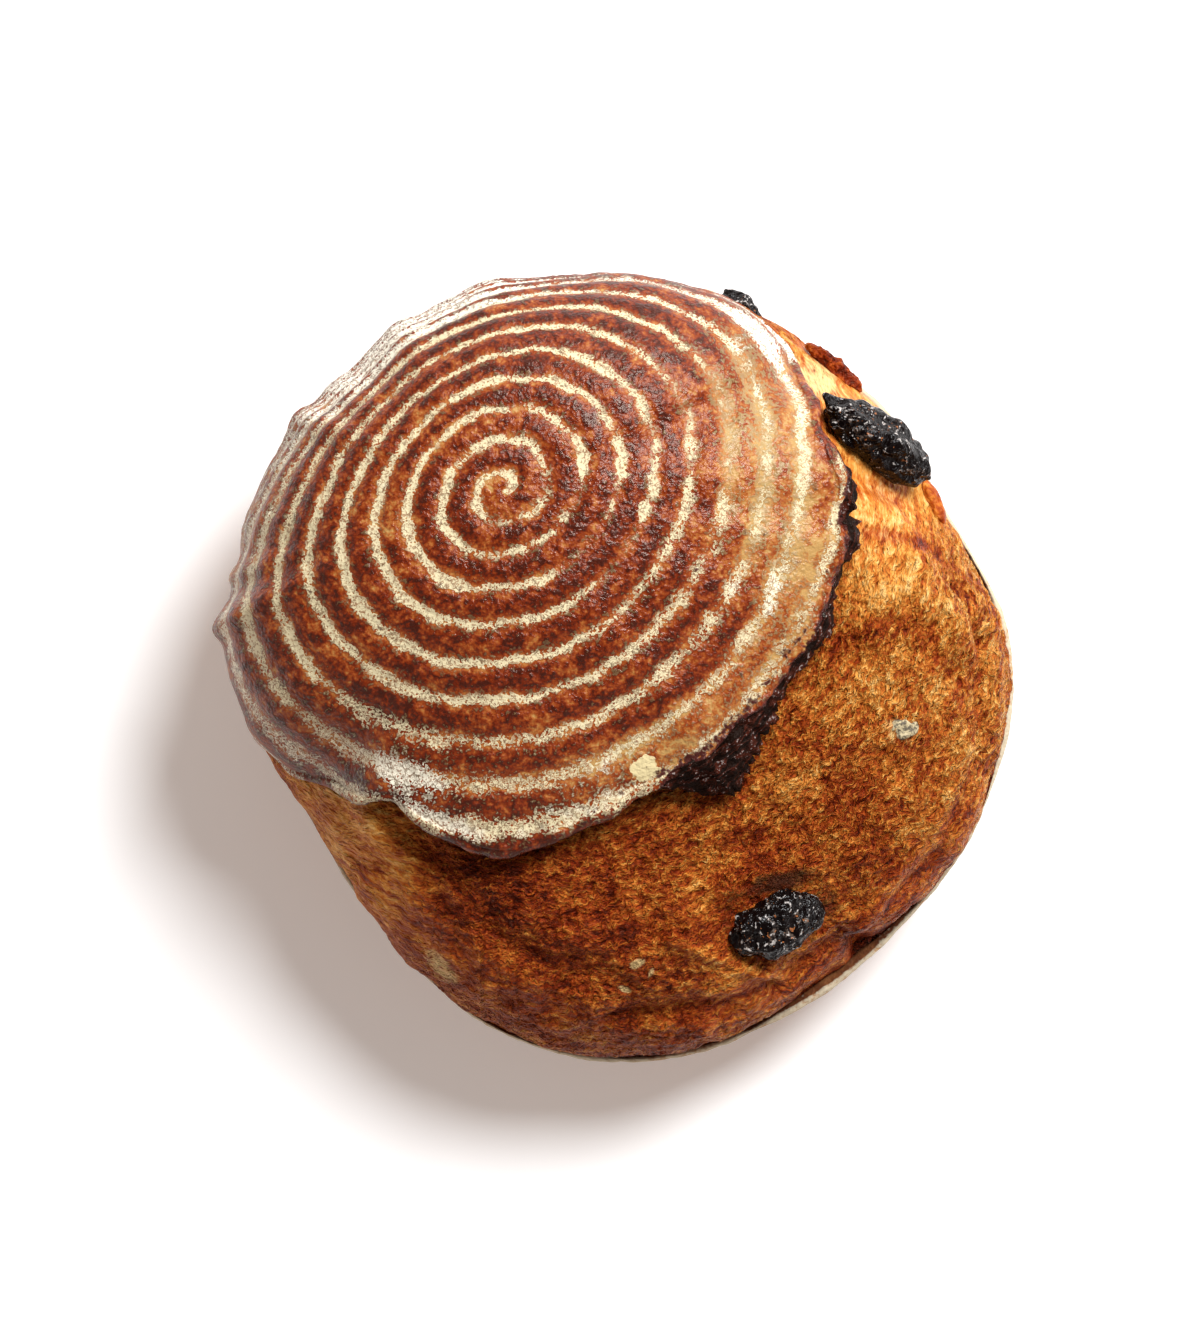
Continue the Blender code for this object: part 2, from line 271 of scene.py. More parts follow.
def points_of(mesh: bpy.types.Mesh) -> np.ndarray:
    """Read a mesh's vertices.

    Args:
        mesh: The mesh.

    Returns:
        One vertex in each row.
    """
    flat = np.zeros(len(mesh.vertices) * 3)
    mesh.vertices.foreach_get("co", flat)
    return flat.reshape(-1, 3)


def stand(name: str, mesh: bpy.types.Mesh) -> bpy.types.Object:
    """Put a mesh into the scene.

    Args:
        name: The piece's name.
        mesh: Its mesh.

    Returns:
        The new object.
    """
    piece = bpy.data.objects.new(name, mesh)
    bpy.context.scene.collection.objects.link(piece)
    return piece


def place_points(mesh: bpy.types.Mesh, points: np.ndarray, fields: dict[str, np.ndarray]) -> None:
    """Move a mesh's vertices and store what its finish reads.

    Args:
        mesh: The mesh.
        points: The new place of each vertex.
        fields: Values for the finish to read, one for each vertex.
    """
    mesh.vertices.foreach_set("co", points.ravel())
    for name, values in fields.items():
        layer = mesh.attributes.new(name, "FLOAT", "POINT")
        layer.data.foreach_set("value", np.broadcast_to(values, len(mesh.vertices)).copy())
    mesh.update()


@dataclass(frozen=True)
class Patch:
    """A soft-edged spot, placed in mm as the loaf is seen from straight above."""

    x: float
    y: float
    long: float
    wide: float
    heading: float
    amount: float


@dataclass(frozen=True)
class Overhead:
    """The point that the loaf is looked at from, straight above it."""

    x: float = -3.95 * MM
    y: float = 1.84 * MM
    height: float = 1600.0 * MM
    level: float = 35.0 * MM

    def seen(self, points: np.ndarray) -> np.ndarray:
        """Project points down to the loaf's widest level.

        Args:
            points: Points in metres.

        Returns:
            Their places on that level as seen from the camera, in mm.
        """
        at = np.array([self.x, self.y])
        scale = (self.height - self.level) / (self.height - points[..., 2:3])
        return (at + (points[..., :2] - at) * scale) / MM

    def patches(self, points: np.ndarray, patches: Sequence[Patch]) -> np.ndarray:
        """Sum patches over points.

        Args:
            points: Points in metres.
            patches: The patches to sum.

        Returns:
            The summed amount at each point.
        """
        total = np.zeros(points.shape[:-1])
        place = self.seen(points)
        for patch in patches:
            turn = math.radians(patch.heading)
            away = place - np.array([patch.x, patch.y])
            along = (away[..., 0] * math.cos(turn) + away[..., 1] * math.sin(turn)) / patch.long
            across = (away[..., 1] * math.cos(turn) - away[..., 0] * math.sin(turn)) / patch.wide
            total += patch.amount * np.exp(-((along ** 2 + across ** 2) ** 1.5))
        return total


OVERHEAD = Overhead()


class Stretch(Enum):
    """The stretches of the loaf's profile, from the lid's middle down to the base."""

    CAP = "cap"
    LID = "lid"
    LIP = "lip"
    UNDER = "under"
    BELLY = "belly"
    TUCK = "tuck"
    RIM = "rim"
    WALL = "wall"
    BASE = "base"


@dataclass
class Sizes:
    """Every size of the profile at each bearing, in metres."""

    open: np.ndarray
    lid: np.ndarray
    lid_z: np.ndarray
    torn: np.ndarray
    thick: np.ndarray
    crease: np.ndarray
    crease_z: np.ndarray
    tear: np.ndarray
    tear_z: np.ndarray
    wall: np.ndarray


@dataclass(frozen=True)
class LoafForm:
    """The loaf's profile: the same named sizes as its solid, in mm where they are plain numbers.

    A pair of sizes is for where the lid is shut and where it stands open.
    """

    middle: tuple[float, float] = (-30.5 * MM, 43.5 * MM)
    lid_z: float = 95.0 * MM
    open_gap: float = 24.0 * MM
    edge_height: tuple[float, float] = (49.0 * MM, 83.0 * MM)
    lip_thickness: tuple[float, float] = (3.6 * MM, 5.0 * MM)
    wall_inset: tuple[float, float] = (2.4 * MM, 0.0)
    crease_inset: tuple[float, float] = (3.0 * MM, 9.0 * MM)
    crease_drop: tuple[float, float] = (1.6 * MM, 5.0 * MM)
    tear_height: tuple[float, float] = (35.0 * MM, 33.0 * MM)
    tear_wave: float = 3.5 * MM
    edge_rag: float = 1.1 * MM
    rim_width: float = 2.0 * MM
    rim_bulge: float = 0.8 * MM
    base_inset: float = 19.0 * MM
    outline: tuple[float, ...] = (116.5, 103.5, 89, 80.5, 69, 62, 57.5, 54, 52, 51.5, 53, 58,
                                  63.5, 70.5, 83, 91, 99, 116.5, 140, 153, 155.5, 154.5, 150.5, 139)
    lid_edge: tuple[float, ...] = (88.5, 85.5, 85, 78, 68.5, 61.5, 57, 53.5, 51.5, 51, 52.5, 57.5,
                                   63, 70, 82, 88.5, 86.5, 86.5, 91, 88, 85, 86, 87.5, 89.5)
    tabs: tuple[tuple[float, float, float], ...] = (
        (204, 3.0, 4.2), (196, 2.2, 2.0), (157, 4.0, 2.5), (251, 3.5, -4.5), (233, 4.0, 2.0), (270, 5.0, 1.5),
        (2, 3.0, 1.6), (353, 3.5, 1.4), (12, 3.0, -1.2), (310, 6.0, 1.5), (98, 5.0, 1.6))
    torn_faces: tuple[tuple[float, float, float], ...] = (
        (309, 13.0, 8.0), (337, 8.0, 3.0), (357, 7.0, 3.5), (285, 7.0, 2.0))
    rim_hidden: tuple[tuple[float, float, float], ...] = ((238, 24.0, 3.6), (60, 18.0, 1.5))
    folds: tuple[tuple[tuple[tuple[float, float], ...], float, float], ...] = (
        (((58, 53), (76, 44), (90, 27), (97, 8)), 3.4, 3.2),
        (((98, 6), (96, -22), (84, -50), (64, -72), (30, -88), (-2, -93)), 2.6, 2.2),
        (((70, -78), (60, -70), (44, -84)), 3.0, 2.2),
        (((-52, -44), (-42, -62), (-22, -76), (2, -82)), 4.5, 1.8),
        (((60, 2), (78, 6), (92, -2)), 4.0, 1.5),
        (((20, -52), (48, -42), (72, -24)), 6.0, 1.4))

    def sizes(self, bearing: np.ndarray) -> Sizes:
        """Work out the profile's sizes.

        Args:
            bearing: Bearings round the lid's middle, in degrees.

        Returns:
            The sizes at each bearing.
        """
        outline = around(self.outline, bearing) * MM
        lid = around(self.lid_edge, bearing) * MM
        gap = smooth(0.0, self.open_gap, outline - lid)
        ring = np.stack([np.cos(np.radians(bearing)), np.sin(np.radians(bearing)), 0 * bearing], -1)
        rag = rough(ring * lid[:, None], 9.0 * MM, 3.0) * self.edge_rag
        torn = reaches(bearing, self.torn_faces)
        edge_z = blend(*self.edge_height, gap)
        thick = blend(*self.lip_thickness, gap)
        wall = outline - blend(*self.wall_inset, gap)
        rim = self.rim_width - reaches(bearing, self.rim_hidden)
        wave = rough(ring * outline[:, None], 55.0 * MM, 11.0) * self.tear_wave
        return Sizes(
            open=gap,
            lid=lid + reaches(bearing, self.tabs) + rag,
            lid_z=edge_z + rough(ring * lid[:, None], 15.0 * MM, 7.0) * self.edge_rag,
            torn=torn + np.abs(rag),
            thick=thick,
            crease=lid - blend(*self.crease_inset, gap),
            crease_z=edge_z - thick - blend(*self.crease_drop, gap) - 0.3 * torn,
            tear=wall - np.maximum(rim, 0.0),
            tear_z=blend(*self.tear_height, gap) + wave,
            wall=wall + np.minimum(rim, 0.0),
        )

    def profile(self, stretch: Stretch, at: Sizes, u: float) -> tuple[np.ndarray, np.ndarray]:
        """Find a stretch's distance from the lid's middle and its height.

        Args:
            stretch: Which stretch of the profile.
            at: Sizes at each bearing.
            u: Share of the way along the stretch, from 0 to 1.

        Returns:
            The distance and the height at each bearing.
        """
        turn = u * math.pi / 2
        half = at.thick / 2
        start = smooth(0.0, 0.3, at.open) * math.pi / 2
        if stretch is Stretch.LID:
            t = blend(math.sin(turn), u, at.open)
            fall = (1.0 - t ** blend(2.7, 2.1, at.open)) ** blend(0.44, 1.0, at.open)
            end_z = at.lid_z - half * (1.0 - np.sin(start))
            return (at.lid - half * (1.0 - np.cos(start))) * t, blend(end_z, self.lid_z, fall)
        if stretch is Stretch.LIP:
            swing = blend(start, -math.pi / 2, u)
            torn = at.torn * smooth(0.25, 0.8, np.array(u))
            reach = at.lid - half + half * np.cos(swing) + torn
            return reach, at.lid_z - half + half * np.sin(swing) - 0.5 * torn
        if stretch is Stretch.UNDER:
            low = at.lid_z - at.thick - 0.5 * at.torn
            return blend(at.lid - at.thick / 2 + at.torn, at.crease, u), blend(low, at.crease_z, u ** 1.5)
        if stretch is Stretch.BELLY:
            height = at.tear_z + (at.crease_z - at.tear_z) * max(math.cos(turn), 0.0) ** 0.9
            return at.crease + (at.tear - at.crease) * math.sin(turn), height
        if stretch is Stretch.RIM:
            return blend(at.tear, at.wall, u), at.tear_z + self.rim_bulge * math.sin(u * math.pi)
        reach = at.wall - self.base_inset * (1.0 - max(math.cos(turn), 0.0) ** 0.9)
        return reach, at.tear_z * (1.0 - math.sin(turn) ** 1.1)

    def spread(self, count: int, evenness: float, shut_share: float = 1.0) -> np.ndarray:
        """Share bearings out so that wide stretches of the loaf get enough.

        Args:
            count: How many bearings.
            evenness: Distance in mm added everywhere, so that narrow stretches keep theirs.
            shut_share: How close together they are where the lid is shut, against elsewhere.

        Returns:
            The bearings in degrees.
        """
        fine = np.linspace(0.0, 360.0, 1441)
        middle = (fine[1:] + fine[:-1]) / 2
        width = around(self.outline, middle)
        gap = smooth(0.0, 14.0, width - around(self.lid_edge, middle))
        length = np.cumsum((width + evenness) * blend(shut_share, 1.0, gap))
        length = np.concatenate([[0.0], length])
        return np.interp(np.arange(count) / count * length[-1], length, fine)

    @staticmethod
    def fold_depth(points: np.ndarray, folds: Sequence[tuple]) -> np.ndarray:
        """Measure how deep the belly's grooves are.

        Args:
            points: Points on the belly.
            folds: Each groove's path, half width and depth, in mm.

        Returns:
            The depth at each point, in metres.
        """
        depth = np.zeros(points.shape[:-1])
        plan = points[..., :2]
        for path, half_width, amount in folds:
            nearest = np.full(points.shape[:-1], 1.0)
            for start, end in zip(path[:-1], path[1:]):
                a = np.array(start) * MM
                b = np.array(end) * MM
                share = np.clip(((plan - a) @ (b - a)) / ((b - a) @ (b - a)), 0.0, 1.0)
                away = plan - a - share[..., None] * (b - a)
                nearest = np.minimum(nearest, np.linalg.norm(away, axis=-1))
            depth += amount * MM * hump(nearest, 0.0, half_width * MM)
        return depth


@dataclass(frozen=True)
class CoilMarks:
    """The rings that the basket's coil pressed into the lid."""

    start: tuple[float, float] = (-28.4 * MM, 44.9 * MM)
    first: float = 0.22
    steep_from: float = 1.2
    steep_share: float = 0.60
    pitch: tuple[float, ...] = (8.7, 9.7, 9.9, 9.2, 8.5, 8.6, 9.2, 9.5, 9.3, 7.8, 7.5, 7.7)
    growth: tuple[float, ...] = (0.06, -0.03, -0.24, -0.33, -0.30, -0.30, -0.22, 0.01, 0.04, 0.19, 0.18, 0.14)

    def turns(self, points: np.ndarray) -> tuple[np.ndarray, np.ndarray]:
        """Count the coil's turns out to each point, more of them where the lid falls steeply.

        Args:
            points: Points on the lid in rows from its middle outwards.

        Returns:
            The turns from the coil's start, and the bearing from it in radians.
        """
        away = points[..., :2] - np.array(self.start)
        angle = np.arctan2(away[..., 1], away[..., 0])
        scale = (OVERHEAD.height - FORM.lid_z) / (OVERHEAD.height - points[..., 2])
        steps = np.diff(points, axis=0)
        flat = np.linalg.norm(steps[..., :2], axis=-1)
        steep = np.maximum(np.linalg.norm(steps, axis=-1) - self.steep_from * flat, 0.0)
        extra = np.concatenate([np.zeros((1, steep.shape[1])), np.cumsum(steep, axis=0)])
        distance = np.linalg.norm(away, axis=-1) * scale + self.steep_share * extra
        pitch = around(self.pitch, np.degrees(angle)) * MM
        growth = around(self.growth, np.degrees(angle)) * MM
        inner = np.maximum(pitch ** 2 + 4 * growth * distance, 0.0)
        return 2 * distance / (pitch + np.sqrt(inner)) - self.first, angle


FORM = LoafForm()
COIL = CoilMarks()


class Skin:
    """A closed skin in rows from its upper pole to its lower one."""

    def __init__(self, bearing: np.ndarray) -> None:
        """Start a skin that has no rows yet.

        Args:
            bearing: The bearings of its points, in degrees.
        """
        self.bearing = bearing
        self.at = FORM.sizes(bearing)
        self.way = np.stack([np.cos(np.radians(bearing)), np.sin(np.radians(bearing))], -1)
        self.rows: list[np.ndarray] = []
        self.kinds: list[Stretch] = []
        self.shares: list[float] = []
        self.points = np.zeros((0, len(bearing), 3))

    def ring(self, reach: np.ndarray, height: np.ndarray) -> np.ndarray:
        """Return a ring of points at that distance from the lid's middle and at that height."""
        plan = np.array(FORM.middle) + self.way * np.broadcast_to(reach, self.bearing.shape)[:, None]
        return np.concatenate([plan, np.broadcast_to(height, self.bearing.shape)[:, None]], 1)

    def run(self, stretch: Stretch, count: int, first: int = 1) -> Skin:
        """Add the rows of one stretch of the profile.

        Args:
            stretch: Which stretch.
            count: Rows in it.
            first: First row that is added, 0 where nothing comes before it.

        Returns:
            This skin.
        """
        for step in range(first, count + 1):
            self.rows.append(self.ring(*FORM.profile(stretch, self.at, step / count)))
            self.kinds.append(stretch)
            self.shares.append(step / count)
        return self

    def straight(self, stretch: Stretch, end: np.ndarray, count: int) -> Skin:
        """Add straight rows from the last one to a point or another ring.

        Args:
            stretch: What these rows are.
            end: The point or ring that they end at.
            count: How many rows.

        Returns:
            This skin.
        """
        start = self.rows[-1]
        for step in range(1, count + 1):
            self.rows.append(start + (np.broadcast_to(end, start.shape) - start) * (step / count))
            self.kinds.append(stretch)
            self.shares.append(step / count)
        return self

    def pole(self, place: tuple[float, float, float]) -> Skin:
        """Start the rows with a pole.

        Args:
            place: Where the pole is.

        Returns:
            This skin.
        """
        self.rows.append(np.broadcast_to(np.array(place), (len(self.bearing), 3)).copy())
        self.kinds.append(Stretch.CAP)
        self.shares.append(0.0)
        return self

    def settle(self) -> Skin:
        """Gather the rows into one grid of points."""
        self.points = np.array(self.rows)
        return self

    def share(self, stretch: Stretch, outside: float = 0.0) -> np.ndarray:
        """Return each row's share along a stretch, or another value outside it."""
        values = [s if kind is stretch else outside for kind, s in zip(self.kinds, self.shares)]
        return np.array(values)[:, None]

    def on(self, *stretches: Stretch) -> np.ndarray:
        """Return 1 on the rows of these stretches and 0 elsewhere."""
        return np.array([float(kind in stretches) for kind in self.kinds])[:, None]

    def lengths(self) -> np.ndarray:
        """Measure along the rows from the upper pole to each point."""
        steps = np.linalg.norm(np.diff(self.points, axis=0), axis=-1)
        return np.concatenate([np.zeros((1, steps.shape[1])), np.cumsum(steps, axis=0)])

    def outward(self) -> np.ndarray:
        """Work out the direction that each point faces.

        Returns:
            A unit vector for each point.
        """
        along = np.roll(self.points, -1, 1) - np.roll(self.points, 1, 1)
        down = np.gradient(self.points, axis=0)
        normal = np.cross(along, -down)
        return normal / np.maximum(np.linalg.norm(normal, axis=-1, keepdims=True), 1e-9)

    def lumps(self) -> np.ndarray:
        """Return the height of the solid's broad lumps."""
        return rough(self.points, LUMP_SIZE) * LUMP_HEIGHT

    def crags(self) -> np.ndarray:
        """Return the height of the solid's small crags."""
        return rough(self.points, CRAG_SIZE, CRAG_SEED) * CRAG_HEIGHT

    def patches(self, patches: Sequence[Patch]) -> np.ndarray:
        """Sum patches, placed as seen from above, over the skin's points."""
        return OVERHEAD.patches(self.points, patches)

    def push(self, height: np.ndarray) -> None:
        """Move every point along its outward direction by that height."""
        self.points = self.points + self.outward() * height[..., None]

    def mesh(self, name: str, fields: dict[str, np.ndarray]) -> bpy.types.Object:
        """Make the skin's object from a grid that is wrapped round and merged at its seam and poles.

        Args:
            name: The piece's name.
            fields: Values for the finish to read, one for each point.

        Returns:
            The new object, smooth shaded.
        """
        rows = len(self.points) - 1
        segments = len(self.bearing)
        made = fresh_mesh(name, bmesh.ops.create_grid, x_segments=segments, y_segments=rows, size=0.5)
        on_sheet = points_of(made) + 0.5
        row = np.rint(on_sheet[:, 1] * rows).astype(int)
        column = np.rint(on_sheet[:, 0] * segments).astype(int) % segments
        grid = self.points.shape[:2]
        read = {field: np.broadcast_to(values, grid)[row, column] for field, values in fields.items()}
        place_points(made, self.points[row, column], read)
        shell = bmesh.new()
        shell.from_mesh(made)
        bmesh.ops.remove_doubles(shell, verts=shell.verts, dist=MERGE_GAP)
        bmesh.ops.recalc_face_normals(shell, faces=shell.faces)
        shell.to_mesh(made)
        shell.free()
        made.shade_smooth()
        return stand(name, made)


class Signal:
    """One output of a shader node, which takes part in arithmetic."""

    def __init__(self, graph: Graph, socket: bpy.types.NodeSocket) -> None:
        """Wrap a socket of that graph's nodes."""
        self.graph = graph
        self.socket = socket

    def _maths(self, operation: str, first: Signal | float, second: Signal | float) -> Signal:
        """Add one Math node on two values."""
        return self.graph.node("ShaderNodeMath", {"operation": operation}, {0: first, 1: second})

    def __add__(self, other: Signal | float) -> Signal:
        """Return self + other."""
        return self._maths("ADD", self, other)

    def __radd__(self, other: float) -> Signal:
        """Return other + self."""
        return self._maths("ADD", other, self)

    def __sub__(self, other: Signal | float) -> Signal:
        """Return self - other."""
        return self._maths("SUBTRACT", self, other)

    def __rsub__(self, other: float) -> Signal:
        """Return other - self."""
        return self._maths("SUBTRACT", other, self)

    def __mul__(self, other: Signal | float) -> Signal:
        """Return self * other."""
        return self._maths("MULTIPLY", self, other)

    def __rmul__(self, other: float) -> Signal:
        """Return other * self."""
        return self._maths("MULTIPLY", other, self)

    def cosine(self) -> Signal:
        """Return the cosine of self in radians."""
        return self.graph.node("ShaderNodeMath", {"operation": "COSINE"}, {0: self})

    def step(self, low: float, high: float) -> Signal:
        """Ease from 0 at low to 1 at high."""
        inputs = {"Value": self, "From Min": low, "From Max": high}
        return self.graph.node("ShaderNodeMapRange", {"interpolation_type": "SMOOTHSTEP"}, inputs)

    def clamped(self) -> Signal:
        """Keep self between 0 and 1."""
        return self.graph.node("ShaderNodeClamp", {}, {0: self})


class Graph:
    """A tree of shader nodes that is built node by node."""

    def __init__(self, tree: bpy.types.NodeTree) -> None:
        """Start adding to a tree."""
        self.tree = tree

    def node(
        self,
        kind: str,
        settings: dict | None = None,
        inputs: dict | None = None,
        output: int | str = 0,
    ) -> Signal:
        """Add one node.

        Args:
            kind: The node's type.
            settings: Its settings, set first; "stops" gives a ramp's places and colours.
            inputs: Values or signals for its sockets, by name or number.
            output: The output to return.

        Returns:
            That output.
        """
        made = self.tree.nodes.new(kind)
        for key, value in (settings or {}).items():
            if key == "stops":
                self._stops(made.color_ramp, value)
            else:
                setattr(made, key, value)
        for key, value in (inputs or {}).items():
            if isinstance(value, Signal):
                self.tree.links.new(value.socket, made.inputs[key])
            elif isinstance(value, tuple) and made.inputs[key].type == "RGBA":
                made.inputs[key].default_value = (*value, 1.0)
            else:
                made.inputs[key].default_value = value
        return Signal(self, made.outputs[output])

    @staticmethod
    def _stops(ramp: bpy.types.ColorRamp, stops: Sequence[tuple[float, Colour]]) -> None:
        """Set a ramp's places and colours.

        Args:
            ramp: The ramp.
            stops: A place from 0 to 1 and a colour for each stop.
        """
        while len(ramp.elements) < len(stops):
            ramp.elements.new(0.5)
        for element, (place, colour) in zip(ramp.elements, stops):
            element.position = place
            element.color = (*colour, 1.0)


class Finish(Graph):
    """A procedural material under construction, with its surface shader."""

    def __init__(self, name: str, **constants: float | Colour) -> None:
        """Start a material.

        Args:
            name: The material's name.
            **constants: Shader sockets that are the same all over, with underscores for spaces.
        """
        self.material = bpy.data.materials.new(name)
        self.material.use_nodes = True
        super().__init__(self.material.node_tree)
        self.shader = self.tree.nodes["Principled BSDF"]
        for socket, value in constants.items():
            self.shader.inputs[socket.replace("_", " ")].default_value = value
        place = self.node("ShaderNodeTexCoord", output="Object")
        self.mm = self.node("ShaderNodeVectorMath", {"operation": "SCALE"}, {0: place, "Scale": 1000.0})

    def part(self, axis: str) -> Signal:
        """Return one part of the place in mm."""
        return self.node("ShaderNodeSeparateXYZ", {}, {0: self.mm}, output=axis)

    def drawn_out(self, share: float, along: Signal) -> Signal:
        """Return a place that changes slowly round the loaf and follows another value down it."""
        flat = {"X": self.part("X") * share, "Y": self.part("Y") * share, "Z": along}
        return self.node("ShaderNodeCombineXYZ", {}, flat)

    def drifted(self, vector: Signal, size_mm: float, reach_mm: float) -> Signal:
        """Push a place about by cloudy noise, so that what it carries curls.

        Args:
            vector: The place in mm.
            size_mm: Size of the swirls in mm.
            reach_mm: How far they push in mm.

        Returns:
            The new place.
        """
        inputs = {"Vector": vector, "Scale": 1.0 / size_mm, "Detail": 1.0}
        swirl = self.node("ShaderNodeTexNoise", {}, inputs, output="Color")
        half = (0.5, 0.5, 0.5)
        centred = self.node("ShaderNodeVectorMath", {"operation": "SUBTRACT"}, {0: swirl, 1: half})
        push = {0: centred, 1: (reach_mm, reach_mm, reach_mm), 2: vector}
        return self.node("ShaderNodeVectorMath", {"operation": "MULTIPLY_ADD"}, push)

    def field(self, name: str) -> Signal:
        """Read one of the mesh's own fields."""
        return self.node("ShaderNodeAttribute", {"attribute_name": name}, output="Fac")

    def spots(self, size_mm: float, detail: float = 2.0, roughness: float = 0.5,
              at: Signal | None = None) -> Signal:
        """Add cloudy noise from 0 to 1, mostly near 0.5, at the plain place or another one."""
        inputs = {"Vector": at or self.mm, "Scale": 1.0 / size_mm, "Detail": detail, "Roughness": roughness}
        return self.node("ShaderNodeTexNoise", {}, inputs)

    def cloud(self, size_mm: float, strength: float, detail: float = 2.0, at: Signal | None = None) -> Signal:
        """Add cloudy noise round 0, as a variation on something else.

        Args:
            size_mm: Size of its largest spots in mm.
            strength: Its standard deviation.
            detail: Layers of finer spots.
            at: The place that it is read at, if not the plain one.

        Returns:
            Noise from about -2.5 to 2.5 times the strength.
        """
        gain = strength / 0.082
        steps = {0: self.spots(size_mm, detail, 0.5, at), 1: gain, 2: -0.5 * gain}
        return self.node("ShaderNodeMath", {"operation": "MULTIPLY_ADD"}, steps)

    def crests(self, size_mm: float, detail: float = 3.0, at: Signal | None = None) -> Signal:
        """Add noise of thin crests.

        Args:
            size_mm: Size of its largest crests in mm.
            detail: Layers of finer crests.
            at: The place that it is read at, if not the plain one.

        Returns:
            Noise mostly from 0.7 to 1.7.
        """
        inputs = {"Vector": at or self.mm, "Scale": 1.0 / size_mm, "Detail": detail, "Roughness": 0.55,
                  "Lacunarity": 2.1, "Offset": 1.0, "Gain": 2.0}
        settings = {"noise_type": "RIDGED_MULTIFRACTAL", "normalize": True}
        return self.node("ShaderNodeTexNoise", settings, inputs)

    def blisters(self, size_mm: float, feature: str = "SMOOTH_F1", at: Signal | None = None) -> Signal:
        """Add rounded cells, 0 at their middles, or the distance to their borders."""
        inputs = {"Vector": at or self.mm, "Scale": 1.0 / size_mm}
        return self.node("ShaderNodeTexVoronoi", {"feature": feature}, inputs, output="Distance")

    def mix(self, a: Signal | Colour, b: Signal | Colour, share: Signal | float) -> Signal:
        """Mix from colour a to colour b by that share."""
        return self.node("ShaderNodeMix", {"data_type": "RGBA"}, {0: share, 6: a, 7: b}, output=2)

    def ramp(self, value: Signal, stops: Sequence[tuple[float, Colour]]) -> Signal:
        """Turn a value into a colour by its stops."""
        return self.node("ShaderNodeValToRGB", {"stops": stops}, {0: value})

    def bump(self, height: Signal, depth_mm: float, below: Signal | None = None) -> Signal:
        """Add relief to the surface's normal.

        Args:
            height: Height from 0 to 1.
            depth_mm: What a height of 1 stands for.
            below: A normal that this relief is added to.

        Returns:
            The new normal.
        """
        inputs = {"Height": height, "Distance": depth_mm * MM, "Strength": 1.0}
        if below is not None:
            inputs["Normal"] = below
        return self.node("ShaderNodeBump", {}, inputs)

    def feed(self, **signals: Signal) -> bpy.types.Material:
        """Link signals to the shader.

        Args:
            **signals: The signal for each shader socket, with underscores for spaces.

        Returns:
            The finished material.
        """
        for socket, signal in signals.items():
            self.tree.links.new(signal.socket, self.shader.inputs[socket.replace("_", " ")])
        return self.material


